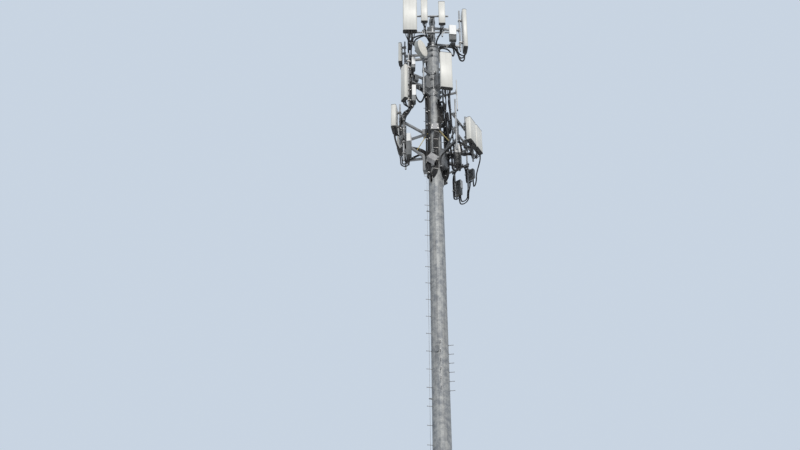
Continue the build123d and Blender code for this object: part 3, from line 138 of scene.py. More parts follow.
# Each cable's length and the spots that its route is drawn between
CORDS = {
    "jumper_left_outer": (2.238, (
        (-1.4728, -0.5364, 26.8377), (-1.4728, -0.5364, 26.6477), (-1.4596, -0.5358, 26.4609),
        (-1.4258, -0.5342, 26.2740), (-1.3795, -0.5320, 26.0872), (-1.3291, -0.5297, 25.9003),
        (-1.2829, -0.5275, 25.7135), (-1.2490, -0.5259, 25.5267), (-1.2359, -0.5253, 25.3398),
        (-1.2359, -0.5253, 25.2156), (-1.1481, -0.5211, 25.1277), (-1.0240, -0.5153, 25.1277),
        (-0.9362, -0.5112, 25.2156), (-0.9362, -0.5112, 25.4577),
    )),
    "jumper_left_inner": (2.146, (
        (-1.4394, -0.3473, 26.8377), (-1.4394, -0.3473, 26.6777), (-1.4250, -0.3573, 26.4888),
        (-1.3878, -0.3832, 26.2999), (-1.3369, -0.4185, 26.1111), (-1.2815, -0.4571, 25.9222),
        (-1.2306, -0.4924, 25.7333), (-1.1934, -0.5183, 25.5444), (-1.1789, -0.5283, 25.3555),
        (-1.1789, -0.5283, 25.2479), (-1.1164, -0.5717, 25.1717), (-1.0280, -0.6332, 25.1717),
        (-0.9654, -0.6766, 25.2479), (-0.9654, -0.6766, 25.4577),
    )),
    "jumper_right": (1.790, (
        (1.5553, -0.3030, 25.8477), (1.5553, -0.3030, 25.6477), (1.5236, -0.1559, 25.5453),
        (1.4646, 0.1174, 25.4429), (1.4328, 0.2645, 25.3405), (1.4328, 0.2645, 25.1749),
        (1.4081, 0.3791, 25.0577), (1.3732, 0.5410, 25.0577), (1.3484, 0.6555, 25.1749),
        (1.3484, 0.6555, 25.4977),
    )),
    "jumper_back_outer": (1.592, (
        (1.2444, 0.7368, 25.4977), (1.2444, 0.7368, 25.3377), (1.2248, 0.7525, 25.1820),
        (1.1882, 0.7816, 25.0263), (1.1686, 0.7973, 24.8705), (1.1686, 0.7973, 24.7049),
        (1.0770, 0.8704, 24.5877), (0.9475, 0.9737, 24.5877), (0.8559, 1.0467, 24.7049),
        (0.8559, 1.0467, 25.0277),
    )),
    "jumper_back_inner": (1.309, (
        (1.1924, 0.7774, 25.4977), (1.1924, 0.7774, 25.3677), (1.1781, 0.7890, 25.2151),
        (1.1514, 0.8104, 25.0625), (1.1370, 0.8219, 24.9098), (1.1370, 0.8219, 24.7856),
        (1.0685, 0.8769, 24.6977), (0.9716, 0.9548, 24.6977), (0.9031, 1.0098, 24.7856),
        (0.9031, 1.0098, 25.0277),
    )),
    "jumper_top_left": (1.978, (
        (-1.2371, 0.1436, 30.6277), (-1.2371, 0.1436, 30.4477), (-1.2055, 0.0958, 30.2641),
        (-1.1303, -0.0179, 30.0806), (-1.0405, -0.1538, 29.8970), (-0.9652, -0.2675, 29.7134),
        (-0.9337, -0.3153, 29.5298), (-0.9337, -0.3153, 29.4056), (-0.8852, -0.3886, 29.3177),
        (-0.8167, -0.4922, 29.3177), (-0.7682, -0.5655, 29.4056), (-0.7682, -0.5655, 29.6477),
    )),
    "jumper_top_right": (1.251, (
        (0.8003, -0.1792, 31.4977), (0.8003, -0.1792, 31.3477), (0.8361, -0.1634, 31.2839),
        (0.9027, -0.1341, 31.2201), (0.9385, -0.1184, 31.1563), (0.9385, -0.1184, 31.0071),
        (1.0350, -0.0759, 30.9017), (1.1715, -0.0158, 30.9017), (1.2680, 0.0266, 31.0071),
        (1.2680, 0.0266, 31.2977),
    )),
    "jumper_middle": (3.813, (
        (0.5270, -0.7642, 28.4777), (0.5270, -0.7642, 28.2877), (0.5283, -0.7620, 28.0865),
        (0.5318, -0.7556, 27.8853), (0.5374, -0.7458, 27.6841), (0.5445, -0.7331, 27.4828),
        (0.5528, -0.7182, 27.2816), (0.5620, -0.7017, 27.0804), (0.5718, -0.6843, 26.8792),
        (0.5817, -0.6666, 26.6780), (0.5915, -0.6491, 26.4768), (0.6007, -0.6327, 26.2756),
        (0.6091, -0.6178, 26.0743), (0.6162, -0.6051, 25.8731), (0.6217, -0.5953, 25.6719),
        (0.6253, -0.5889, 25.4707), (0.6265, -0.5866, 25.2695), (0.6265, -0.5866, 25.1659),
        (0.6623, -0.5227, 25.0927), (0.7130, -0.4324, 25.0927), (0.7488, -0.3685, 25.1659),
        (0.7488, -0.3685, 25.3677),
    )),
    "trunk_front": (4.004, (
        (0.1306, -0.1120, 28.3500), (0.2398, -0.2423, 28.3600), (0.3298, -0.3495, 28.2400),
        (0.3555, -0.3801, 28.0500), (0.3589, -0.3800, 27.8352), (0.3684, -0.3798, 27.6204),
        (0.3827, -0.3793, 27.4056), (0.4010, -0.3788, 27.1908), (0.4220, -0.3782, 26.9760),
        (0.4446, -0.3775, 26.7612), (0.4678, -0.3768, 26.5464), (0.4904, -0.3761, 26.3317),
        (0.5114, -0.3755, 26.1169), (0.5296, -0.3750, 25.9021), (0.5440, -0.3745, 25.6873),
        (0.5534, -0.3743, 25.4725), (0.5568, -0.3742, 25.2577), (0.5568, -0.3742, 25.1417),
        (0.6388, -0.3717, 25.0597), (0.7547, -0.3683, 25.0597), (0.8367, -0.3659, 25.1417),
        (0.8367, -0.3659, 25.3677),
    )),
    "trunk_right": (3.962, (
        (0.1060, -0.1326, 28.3500), (0.2153, -0.2628, 28.3600), (0.3053, -0.3701, 28.2400),
        (0.3310, -0.4007, 28.0500), (0.3494, -0.4117, 27.7856), (0.3986, -0.4411, 27.5212),
        (0.4699, -0.4837, 27.2568), (0.5544, -0.5341, 26.9925), (0.6433, -0.5872, 26.7281),
        (0.7279, -0.6377, 26.4637), (0.7991, -0.6803, 26.1993), (0.8484, -0.7097, 25.9349),
        (0.8667, -0.7207, 25.6705), (0.8667, -0.7207, 25.5049), (0.9673, -0.7807, 25.3877),
        (1.1096, -0.8657, 25.3877), (1.2102, -0.9258, 25.5049), (1.2102, -0.9258, 25.8277),
    )),
}


def new_group(name, inputs, outputs):
    """An empty shader group with named number inputs and outputs."""
    tree = bpy.data.node_groups.new(name, "ShaderNodeTree")
    for label, value in inputs.items():
        tree.interface.new_socket(label, in_out="INPUT", socket_type="NodeSocketFloat").default_value = value
    for label in outputs:
        tree.interface.new_socket(label, in_out="OUTPUT", socket_type="NodeSocketFloat")
    return tree, node(tree, "NodeGroupInput").outputs, node(tree, "NodeGroupOutput").inputs


def noise_of(tree, vector, scale, detail, rough):
    """Fractal noise between 0 and 1."""
    sockets = {"Vector": vector, "Scale": scale, "Detail": detail, "Roughness": rough}
    return node(tree, "ShaderNodeTexNoise", sockets).outputs["Fac"]


def spread(tree, value, low, high, out_low=0.0, out_high=1.0):
    """Map a value's useful range onto another, clamped."""
    sockets = {"Value": value, "From Min": low, "From Max": high, "To Min": out_low, "To Max": out_high}
    return node(tree, "ShaderNodeMapRange", sockets).outputs["Result"]


def between(tree, mask, low, high):
    """A mask made into a value between two others."""
    return spread(tree, mask, 0.0, 1.0, low, high)


def drawn_down(tree, place, squash):
    """The place on a surface drawn out along Z, for streaks that run down."""
    return node(tree, "ShaderNodeMapping", {"Vector": place, "Scale": (1.0, 1.0, squash)}).outputs[0]


def weather_group():
    """Dust and rain streaks that run down a surface, soft patches and a fine grain."""
    inputs = {"Scale": 1.0, "Streaks": 6.0, "Fine": 90.0}
    tree, given, put = new_group("weather", inputs, ("Streak", "Patch", "Grain"))
    place = node(tree, "ShaderNodeTexCoord").outputs["Object"]
    streak = noise_of(tree, drawn_down(tree, place, 0.06), given["Streaks"], 5.0, 0.6)
    patch = noise_of(tree, place, given["Scale"], 4.0, 0.6)
    grain = noise_of(tree, place, given["Fine"], 3.0, 0.7)
    masks = ((streak, 0.42, 0.68, "Streak"), (patch, 0.35, 0.7, "Patch"), (grain, 0.3, 0.7, "Grain"))
    for value, low, high, name in masks:
        tree.links.new(spread(tree, value, low, high), put[name])
    return tree


WEATHER = weather_group()


def weather(tree, scale, streaks, fine):
    """The masks of streaks, patches and grain at these scales."""
    sockets = {"Scale": scale, "Streaks": streaks, "Fine": fine}
    masks = node(tree, "ShaderNodeGroup", sockets, node_tree=WEATHER).outputs
    return masks["Streak"], masks["Patch"], masks["Grain"]


def new_material(name, **values):
    """A material with constant values set on its Principled shader, ready for its nodes."""
    made = bpy.data.materials.new(name)
    made.use_nodes = True
    shader = made.node_tree.nodes["Principled BSDF"]
    for key, value in values.items():
        shader.inputs[key.replace("_", " ")].default_value = value
    return made, made.node_tree, shader.inputs


def blend_colour(tree, mask, first, second, kind="MIX"):
    """Mix two colours or colour sockets by a mask."""
    sockets = {0: mask, 6: first, 7: second}
    return node(tree, "ShaderNodeMix", sockets, data_type="RGBA", blend_type=kind).outputs[2]


def bump(tree, shader, height, strength, distance):
    """Relief from a mask."""
    made = node(tree, "ShaderNodeBump", {"Height": height, "Strength": strength, "Distance": distance})
    tree.links.new(made.outputs[0], shader["Normal"])


def cable_jacket():
    """Black polyethylene, greyed by the sun in patches, with a faint moulded grain."""
    made, tree, shader = new_material("cable_jacket", Roughness=0.5, Specular_IOR_Level=0.25)
    streak, patch, grain = weather(tree, 3.0, 9.0, 260.0)
    worn = blend_colour(tree, patch, (0.009, 0.009, 0.011, 1), (0.026, 0.026, 0.029, 1))
    dusty = blend_colour(tree, streak, worn, (0.045, 0.043, 0.040, 1), "LIGHTEN")
    tree.links.new(dusty, shader["Base Color"])
    tree.links.new(between(tree, patch, 0.38, 0.62), shader["Roughness"])
    bump(tree, shader, grain, 0.15, 0.001)
    return made


def new_lines(name, radius, steps):
    """An empty curve with a round jacket, or with bare lines where the radius is 0."""
    made = bpy.data.curves.new(name, "CURVE")
    made.dimensions = "3D"
    made.bevel_depth = radius
    made.bevel_resolution = 4
    made.resolution_u = steps
    return made


def draw_line(lines, route, radius=1.0):
    """A smooth line that starts and ends on the first and the last point of a route."""
    spline = lines.splines.new("NURBS")
    spline.points.add(len(route) - 1)
    for item, place in zip(spline.points, route):
        item.co = (*place, 1)
        item.radius = radius
    spline.order_u = 3
    spline.use_endpoint_u = True


CABLE_JACKET = cable_jacket()
for name, (length, route) in CORDS.items():
    across = TRUNK_ACROSS if name.startswith("trunk") else JUMPER_ACROSS
    line = new_lines(name, across / 2, 8)
    line.use_fill_caps = True
    draw_line(line, route)
    line.materials.append(CABLE_JACKET)
    cable = placed(f"{name}_cable", line)
    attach(cable, "root")
    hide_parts(name)

# The shaft: three tapered sections of folded steel plate with eighteen flats, each slid
# over the one below, and a thick base flange. All of it is dipped in zinc after welding.
SHAFT_FOOT = 0.69
SHAFT_TAPER = 0.00895
SHAFT_FLATS = 18
SHAFT_LAPS = (0.0, 0.0126, 0.0232)
SHAFT_SPANS = ((0.055, 11.0), (10.1, 21.2), (20.4, 31.2))
SEAM_BEARINGS = (110.0, -70.0, 130.0)
SEAM_HALF = 0.007
SEAM_PROUD = 0.002
SEAM_SUNK = 0.001
SEAM_END = 0.01
FLAT_SPANGLE = 55.0
CREASE = 35


def zinc_group():
    """Hot-dip zinc: crystal spangles, cloudy patches and long runs where it drained."""
    inputs = {"Spangle": 60.0, "Cloud": 1.4, "Runs": 9.0}
    tree, given, put = new_group("zinc", inputs, ("Spangle", "Cloud", "Run"))
    place = node(tree, "ShaderNodeTexCoord").outputs["Object"]
    cells = node(tree, "ShaderNodeTexVoronoi", {"Vector": place, "Scale": given["Spangle"]})
    tone = node(tree, "ShaderNodeSeparateColor", {"Color": cells.outputs["Color"]}).outputs["Red"]
    cloud = noise_of(tree, place, given["Cloud"], 8.0, 0.70)
    run = noise_of(tree, drawn_down(tree, place, 0.05), given["Runs"], 3.0, 0.5)
    tree.links.new(tone, put["Spangle"])
    tree.links.new(spread(tree, cloud, 0.40, 0.60), put["Cloud"])
    tree.links.new(spread(tree, run, 0.45, 0.72), put["Run"])
    return tree


ZINC = zinc_group()
BROWN_STAIN = (0.20, 0.17, 0.13, 1)


def galvanised(name, bright, dull, metal, rough, spangle, cloud, stain=BROWN_STAIN):
    """Weathered hot-dip zinc between a bright and a dull grey, with faint brown stains."""
    made, tree, shader = new_material(name, Metallic=metal, Specular_IOR_Level=0.45)
    zinc = node(tree, "ShaderNodeGroup", {"Spangle": spangle, "Cloud": cloud}, node_tree=ZINC).outputs
    streak, _, grain = weather(tree, 0.7, 5.0, 140.0)
    base = blend_colour(tree, zinc["Cloud"], (*dull, 1), (*bright, 1))
    fleck = between(tree, zinc["Spangle"], 0.90, 1.07)
    fleck = node(tree, "ShaderNodeCombineColor", {"Red": fleck, "Green": fleck, "Blue": fleck}).outputs[0]
    base = blend_colour(tree, 1.0, base, fleck, "MULTIPLY")
    drained = tuple(min(1.0, c * 1.25) for c in bright) + (1,)
    base = blend_colour(tree, between(tree, zinc["Run"], 0.0, 0.35), base, drained)
    base = blend_colour(tree, between(tree, streak, 0.0, 0.22), base, stain)
    tree.links.new(base, shader["Base Color"])
    tree.links.new(between(tree, zinc["Spangle"], rough - 0.08, rough + 0.10), shader["Roughness"])
    bump(tree, shader, grain, 0.12, 0.0015)
    return made


def dress(material, *names):
    """Give the nodes of the frame a material."""
    for name in names:
        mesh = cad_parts[name].data
        mesh.materials.clear()
        mesh.materials.append(material)


def flat_reach(section, z):
    """Distance from the shaft's axis to the middle of a flat, in metres."""
    return (SHAFT_FOOT - SHAFT_TAPER * z) / 2 + SHAFT_LAPS[section] / 2


def seated(name, mesh, replaced):
    """A mesh as a piece that rides on the mast and may stand for nodes of the frame."""
    piece = placed(name, mesh)
    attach(piece, "root")
    if replaced:
        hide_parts(*replaced)


def keep(name, shape, material, replaced=(), crease=CREASE):
    """Store a bmesh as a smooth piece with sharp edges where its faces turn by the crease."""
    mesh = bpy.data.meshes.new(name)
    shape.to_mesh(mesh)
    shape.free()
    mesh.materials.append(material)
    mesh.polygons.foreach_set("use_smooth", [True] * len(mesh.polygons))
    mesh.set_sharp_from_angle(angle=radians(crease))
    seated(name, mesh, replaced)


def walled(shape, low, high):
    """Faces between two rings of equally many corners."""
    for i in range(len(low)):
        j = (i + 1) % len(low)
        shape.faces.new((low[i], low[j], high[j], high[i]))


def lofted(shape, place, rings):
    """Skin a stack of equal rings, given from the foot up and anticlockwise, and close its ends."""
    rows = [[shape.verts.new(place @ Vector(point)) for point in ring] for ring in rings]
    for low, high in zip(rows, rows[1:]):
        walled(shape, low, high)
    shape.faces.new(rows[0][::-1])
    shape.faces.new(rows[-1])


def at_height(ring, heights):
    """The same flat ring of (x, y) at several heights."""
    return [[(x, y, z) for x, y in ring] for z in heights]


def bearing_turn(bearing):
    """A turn about the shaft, from the front towards the viewer's right."""
    return Matrix.Rotation(radians(bearing), 4, "Z")


def moved(seat, x, y, z):
    """A placement shifted along its own axes."""
    return seat @ Matrix.Translation((x, y, z))


def seat_at(bearing, reach, z=0.0, t=0.0):
    """A placement at a reach from the shaft's axis, t along the face, with -Y outwards."""
    return moved(bearing_turn(bearing), t, -reach, z)


SHAFT_TONES = (0.41, 0.42, 0.415), (0.20, 0.215, 0.235)
SHAFT_STEEL = galvanised("shaft_zinc", *SHAFT_TONES, 0.22, 0.60, FLAT_SPANGLE, 5.5)
dress(SHAFT_STEEL, "base_flange", "shaft_lower", "shaft_middle", "shaft_upper")
seams = bmesh.new()
for section, ((z_low, z_high), bearing) in enumerate(zip(SHAFT_SPANS, SEAM_BEARINGS)):
    ends = []
    for z in (z_low + SEAM_END, z_high - SEAM_END):
        near = flat_reach(section, z) - SEAM_SUNK
        far = near + SEAM_PROUD
        ring = ((-SEAM_HALF, -near), (-SEAM_HALF / 2, -far), (SEAM_HALF / 2, -far), (SEAM_HALF, -near))
        ends += at_height(ring, (z,))
    lofted(seams, bearing_turn(bearing), ends)
keep("shaft_weld_seams", seams, SHAFT_STEEL)


def turned(shape, place, profile, sides=24, closed=False):
    """Turn a profile of (radius, height) about the local Z axis; radius 0 is a pole."""
    rings = []
    for radius, height in profile:
        spots = 1 if radius == 0 else sides
        turns = [2 * pi * i / sides for i in range(spots)]
        corners = [Vector((radius * cos(a), radius * sin(a), height)) for a in turns]
        rings.append([shape.verts.new(place @ corner) for corner in corners])
    if closed:
        rings.append(rings[0])
    for low, high in zip(rings, rings[1:]):
        if len(low) == len(high):
            walled(shape, low, high)
            continue
        for i in range(sides):
            j = (i + 1) % sides
            if len(low) == 1:
                shape.faces.new((low[0], high[j], high[i]))
            else:
                shape.faces.new((low[i], low[j], high[0]))


# A rounded weld runs round the foot of the shaft where it meets the base flange.
WELD_LEG = 0.018
WELD_SUNK = 0.004
foot_top = SHAFT_SPANS[0][0]
foot_reach = flat_reach(0, foot_top) / cos(pi / SHAFT_FLATS)
foot_weld = bmesh.new()
weld_profile = [
    (foot_reach - WELD_SUNK, 0.0), (foot_reach + WELD_LEG, 0.0),
    (foot_reach + WELD_LEG * 0.45, WELD_LEG * 0.5), (foot_reach - WELD_SUNK, WELD_LEG),
]
turned(foot_weld, Matrix.Translation((0, 0, foot_top)), weld_profile, 72, closed=True)
keep("base_weld", foot_weld, SHAFT_STEEL)

# Ports: flame-cut holes with a thick rim welded in. Those by the ground and half way up
# have flat cover plates held by small bolts; the cable ports stay open.
GALVANISED = galvanised("galvanised_fittings", (0.33, 0.34, 0.35), (0.20, 0.21, 0.22), 0.40, 0.50, 75.0, 3.0)
dress(SHAFT_STEEL, "port_rims")
dress(GALVANISED, "port_covers")
COVER_BOLT = {"Across": 0.012, "Thick": 0.007, "Shank": 0.004}
COVERS = ((0, 1.150, 0.2, 0.5), (180, 1.150, 0.2, 0.5), (-20, 18.1, 0.11, 0.19), (160, 18.1, 0.11, 0.19))
COVER_FACE = 0.030
COVER_EDGE = 0.010
COVER_BOLT_RISES = (-0.36, 0.0, 0.36)


def fitted(tree, given, whole):
    """The last nodes of a tree: plain geometry in one material."""
    whole = node(tree, "GeometryNodeRealizeInstances", {"Geometry": whole}).outputs[0]
    done = node(tree, "GeometryNodeSetMaterial", {"Geometry": whole, "Material": given["Finish"]}).outputs[0]
    node(tree, "NodeGroupOutput", {"Pieces": done})
    return tree


def new_tree(name, carrier, kind, inputs):
    """An empty geometry tree with named inputs, its carrier's geometry and its material."""
    tree = bpy.data.node_groups.new(name, "GeometryNodeTree")
    tree.interface.new_socket(carrier, in_out="INPUT", socket_type="NodeSocketGeometry")
    for label, value in inputs.items():
        tree.interface.new_socket(label, in_out="INPUT", socket_type=kind).default_value = value
    tree.interface.new_socket("Finish", in_out="INPUT", socket_type="NodeSocketMaterial")
    tree.interface.new_socket("Pieces", in_out="OUTPUT", socket_type="NodeSocketGeometry")
    return tree, node(tree, "NodeGroupInput").outputs


def fitting_tree(name, inputs, shape, *details):
    """A tree that sets one fitting on every spot, turned by the spot's own attribute."""
    tree, given = new_tree(name, "Spots", "NodeSocketFloat", inputs)
    turn = node(tree, "GeometryNodeInputNamedAttribute", {"Name": "turn"}, data_type="FLOAT_VECTOR")
    turn = node(tree, "FunctionNodeEulerToRotation", {"Euler": turn.outputs[0]}).outputs[0]
    sockets = {"Points": given["Spots"], "Instance": shape(tree, given, *details), "Rotation": turn}
    return fitted(tree, given, node(tree, "GeometryNodeInstanceOnPoints", sockets).outputs[0])


def times(tree, value, factor):
    """A socket's value times a number."""
    return calc(tree, "MULTIPLY", value, factor)


def vector_of(tree, **parts):
    """A vector from its parts; those left out are 0."""
    return node(tree, "ShaderNodeCombineXYZ", parts).outputs[0]


def joined(tree, parts):
    """Several geometries as one."""
    made = node(tree, "GeometryNodeJoinGeometry")
    for part in parts:
        tree.links.new(part, made.inputs[0])
    return made.outputs[0]


def bar_stack(tree, given, bars):
    """Round or hexagonal bars on the local Z axis; each size is an input's name and a factor."""
    made = []
    for sides, *sizes in bars:
        radius, thick, foot = [times(tree, given[name], factor) for name, factor in sizes]
        sockets = {"Vertices": sides, "Radius": radius, "Depth": thick}
        bar = node(tree, "GeometryNodeMeshCylinder", sockets).outputs["Mesh"]
        rise = vector_of(tree, Z=calc(tree, "ADD", foot, times(tree, thick, 0.5)))
        made.append(node(tree, "GeometryNodeTransform", {"Geometry": bar, "Translation": rise}).outputs[0])
    return joined(tree, made)


# A washer, a hexagon nut and the end of the bolt that stands out of it
BOLT_TREE = fitting_tree("hexagon_bolts", {"Across": 0.03, "Thick": 0.014, "Shank": 0.02}, bar_stack, (
    (16, ("Across", 0.95), ("Thick", 0.25), ("Thick", 0.0)),
    (6, ("Across", 0.6), ("Thick", 1.0), ("Thick", 0.25)),
    (10, ("Across", 0.32), ("Shank", 1.0), ("Thick", 1.25)),
))


def plain_mesh(name, data, material, tree=None, values=()):
    """The mesh that this data shows, with a tree run on it, in one material."""
    carrier = placed(f"{name}_carrier", data)
    if tree:
        modifier = carrier.modifiers.new("fittings", "NODES")
        modifier.node_group = tree
        given = {**values, "Finish": material}
        for socket in tree.interface.items_tree:
            if socket.in_out == "INPUT" and socket.name in given:
                modifier[socket.identifier] = given[socket.name]
    graph = bpy.context.evaluated_depsgraph_get()
    mesh = bpy.data.meshes.new_from_object(carrier.evaluated_get(graph))
    bpy.data.objects.remove(carrier)
    mesh.name = name
    mesh.materials.clear()
    mesh.materials.append(material)
    mesh.polygons.foreach_set("material_index", [0] * len(mesh.polygons))
    return mesh


def fittings(name, tree, places, values, material):
    """The mesh of a fitting on each of a list of placements."""
    spots = bpy.data.meshes.new(f"{name}_spots")
    spots.from_pydata([place.to_translation() for place in places], [], [])
    turn = spots.attributes.new("turn", "FLOAT_VECTOR", "POINT")
    for item, place in zip(turn.data, places):
        item.vector = place.to_euler()
    return plain_mesh(name, spots, material, tree, values)


def grown(name, tree, places, values, material, replaced=()):
    """Run a fitting tree on a list of placements and keep the result as a plain piece."""
    mesh = fittings(name, tree, places, values, material)
    mesh.set_sharp_from_angle(angle=radians(CREASE))
    seated(name, mesh, replaced)


FACE_OUT = Matrix.Rotation(pi / 2, 4, "X")


def outward(bearing, t, reach, z):
    """A placement on the mast whose local Z points away from the shaft."""
    return seat_at(bearing, reach, z, t) @ FACE_OUT


BOLT_STEEL = galvanised("bolt_zinc", (0.55, 0.55, 0.54), (0.38, 0.38, 0.37), 0.6, 0.38, 160.0, 6.0)
cover_bolts = []
for bearing, z, width, height in COVERS:
    section = 0 if z < SHAFT_SPANS[1][0] else 1
    reach = flat_reach(section, z) + COVER_FACE
    for side in (-1, 1):
        for rise in COVER_BOLT_RISES:
            cover_bolts.append(outward(bearing, side * (width / 2 - COVER_EDGE), reach, z + rise * height))
grown("cover_bolts", BOLT_TREE, cover_bolts, COVER_BOLT, BOLT_STEEL)

# Climbing pegs: round bars screwed into nuts that are welded to the flats, with an upset
# head that stops a boot. They zigzag up two flats, with closer pairs at the work place.
PEG_SIZE = {"Across": 0.018, "Reach": 0.165}
PEG_PITCH = 0.63
PEG_COLUMNS = (-80.0, -160.0)
PEG_FIRST = 3.0
PEG_LAST = 30.3
WORK_PEG_COLUMNS = (0.0, 80.0)
WORK_PEG_FIRST = 16.75
WORK_PEG_PITCH = 0.315
WORK_PEG_COUNT = 6
PEG_STOPS = ((25.29, 27.24), (28.65, 29.90), (30.66, 31.14))
CABLE_PORTS = ((-40, 24.86, 0.4), (100, 24.86, 0.4), (40, 28.35, 0.4), (-140, 28.35, 0.4))
PORT_PLACES = (*((bearing, z, tall) for bearing, z, wide, tall in COVERS), *CABLE_PORTS)
PORT_HALF_ANGLE = 20
# A welded nut, a threaded root, the round bar and its head
PEG_TREE = fitting_tree("climbing_pegs", PEG_SIZE, bar_stack, (
    (6, ("Across", 0.95), ("Across", 0.9), ("Reach", 0.0)),
    (12, ("Across", 0.42), ("Reach", 0.25), ("Reach", 0.0)),
    (12, ("Across", 0.5), ("Reach", 0.72), ("Reach", 0.22)),
    (12, ("Across", 0.95), ("Reach", 0.045), ("Reach", 0.94)),
))
PEG_STEEL = galvanised("peg_zinc", (0.36, 0.36, 0.36), (0.20, 0.20, 0.205), 0.45, 0.5, 120.0, 4.0)


def peg_place(bearing, z):
    """Where a peg stands, or nothing where a collar or a port is in its way."""
    if any(low < z < high for low, high in PEG_STOPS):
        return []
    for port, height, tall in PORT_PLACES:
        apart = abs((bearing - port + 180) % 360 - 180)
        if apart < PORT_HALF_ANGLE and abs(z - height) < tall / 2 + PEG_SIZE["Reach"]:
            return []
    section = sum(z > low for low, high in SHAFT_SPANS[1:])
    return [outward(bearing, 0, flat_reach(section, z), z)]


peg_places = []
for column, bearing in enumerate(PEG_COLUMNS):
    first = PEG_FIRST + column * PEG_PITCH / 2
    count = int((PEG_LAST - PEG_FIRST - column * PEG_PITCH / 2) / PEG_PITCH) + 1
    for i in range(count):
        peg_places += peg_place(bearing, first + i * PEG_PITCH)
for bearing in WORK_PEG_COLUMNS:
    for i in range(WORK_PEG_COUNT):
        peg_places += peg_place(bearing, WORK_PEG_FIRST + i * WORK_PEG_PITCH)
grown("climbing_pegs", PEG_TREE, peg_places, PEG_SIZE, PEG_STEEL, ["step_pegs"])

# The climber's safety cable: a stranded steel rope beside the pegs, clear of the shaft,
# held by cast clips at even heights.
CLIMB_BEARING = -70.0
CLIMB_ACROSS = 0.010
CLIMB_STANDOFF = 0.09
CLIMB_ENDS = ((0, 2.3), (2, 30.6))
STRAND_PITCH = 420.0
EASED_SHARE = 0.12


def wire_rope():
    """Grey stranded wire: slanted strands as bands round and along the rope."""
    made, tree, shader = new_material("wire_rope", Metallic=0.8, Roughness=0.42)
    place = node(tree, "ShaderNodeTexCoord").outputs["Object"]
    lay = node(tree, "ShaderNodeMapping", {"Vector": place, "Rotation": (0.5, 0.3, 0.0)}).outputs[0]
    sockets = {"Vector": lay, "Scale": STRAND_PITCH, "Distortion": 0.5}
    bands = node(tree, "ShaderNodeTexWave", sockets, bands_direction="Z").outputs["Fac"]
    _, patch, _ = weather(tree, 2.0, 8.0, 300.0)
    base = blend_colour(tree, patch, (0.30, 0.30, 0.31, 1), (0.17, 0.165, 0.16, 1))
    tree.links.new(base, shader["Base Color"])
    bump(tree, shader, bands, 0.5, 0.001)
    return made


def tube(shape, seat, start, end, outer, wall=0.0, sides=20):
    """A straight pipe between two spots of a seat, open with a wall or solid where the wall is 0."""
    start, end = seat @ Vector(start), seat @ Vector(end)
    run = end - start
    place = Matrix.Translation(start) @ run.to_track_quat("Z", "Y").to_matrix().to_4x4()
    long = run.length
    if wall:
        inner = outer - wall
        turned(shape, place, [(outer, 0), (outer, long), (inner, long), (inner, 0)], sides, closed=True)
    else:
        edge = outer * EASED_SHARE
        foot = [(0, 0), (outer - edge, 0), (outer, edge)]
        turned(shape, place, [*foot, (outer, long - edge), (outer - edge, long), (0, long)], sides)


climb = bmesh.new()
climb_ends = [(0, -flat_reach(section, z) - CLIMB_STANDOFF, z) for section, z in CLIMB_ENDS]
tube(climb, bearing_turn(CLIMB_BEARING), *climb_ends, CLIMB_ACROSS / 2, 0.0, 12)
keep("safety_cable", climb, wire_rope(), ["climb_cable"])
dress(GALVANISED, "climb_guides")

# Collars: bands of bent plate that wrap the flats in parts and are drawn together by pairs
# of long bolts through their ears.
dress(GALVANISED, "low_collars", "mid_collars", "top_collars")
COLLAR_SETS = (
    ((61.0, -100.0, 142.0), ((25.33, 25.48), (25.93, 26.08), (26.98, 27.20))),
    ((34.0, -60.0, 178.0), ((29.05, 29.18), (29.48, 29.61))),
    ((-42.0, 70.0), ((28.69, 28.81), (29.74, 29.86))),
    ((-98.0, 82.0), ((30.70, 30.81), (30.99, 31.10))),
)
SEAT_GAP = 0.0003
COLLAR_PLATE = 0.014
EAR_HALF = 0.026
EAR_MIDDLE = 0.045
EAR_BOLT_SHARES = (0.25, 0.75)
COLLAR_BOLT = {"Across": 0.028, "Thick": 0.016, "Shank": 0.022}
COLLAR_ROD = 0.010


def parted(bearings):
    """Bearings half way between neighbours, where a collar's ears meet."""
    turns = sorted(b % 360 for b in bearings)
    return [(a + b) / 2 for a, b in zip(turns, turns[1:] + [turns[0] + 360])]


ear_bolts = []
ear_rods = bmesh.new()
for bearings, bands in COLLAR_SETS:
    for bearing in parted(bearings):
        for low, high in bands:
            reach = flat_reach(2, low) + SEAT_GAP + COLLAR_PLATE + EAR_MIDDLE
            for share in EAR_BOLT_SHARES:
                z = low + share * (high - low)
                for side in (-1, 1):
                    seat = seat_at(bearing, reach, z, side * EAR_HALF)
                    ear_bolts.append(seat @ Matrix.Rotation(side * pi / 2, 4, "Y"))
                ends = [(side * EAR_HALF, -reach, z) for side in (-1, 1)]
                tube(ear_rods, bearing_turn(bearing), *ends, COLLAR_ROD, 0.0, 10)
grown("collar_bolts", BOLT_TREE, ear_bolts, COLLAR_BOLT, BOLT_STEEL)
keep("collar_rods", ear_rods, BOLT_STEEL)

# Guard plates stand off the front of two rings on spacers and keep the cables behind them
# from rubbing. The upper one is flat, the lower one is folded along its foot and set askew.
GUARD_THICK = 0.006
GUARD_EDGE = 0.0015
SPACER_ACROSS = 0.020
SMALL_BOLT = {"Across": 0.020, "Thick": 0.010, "Shank": 0.008}
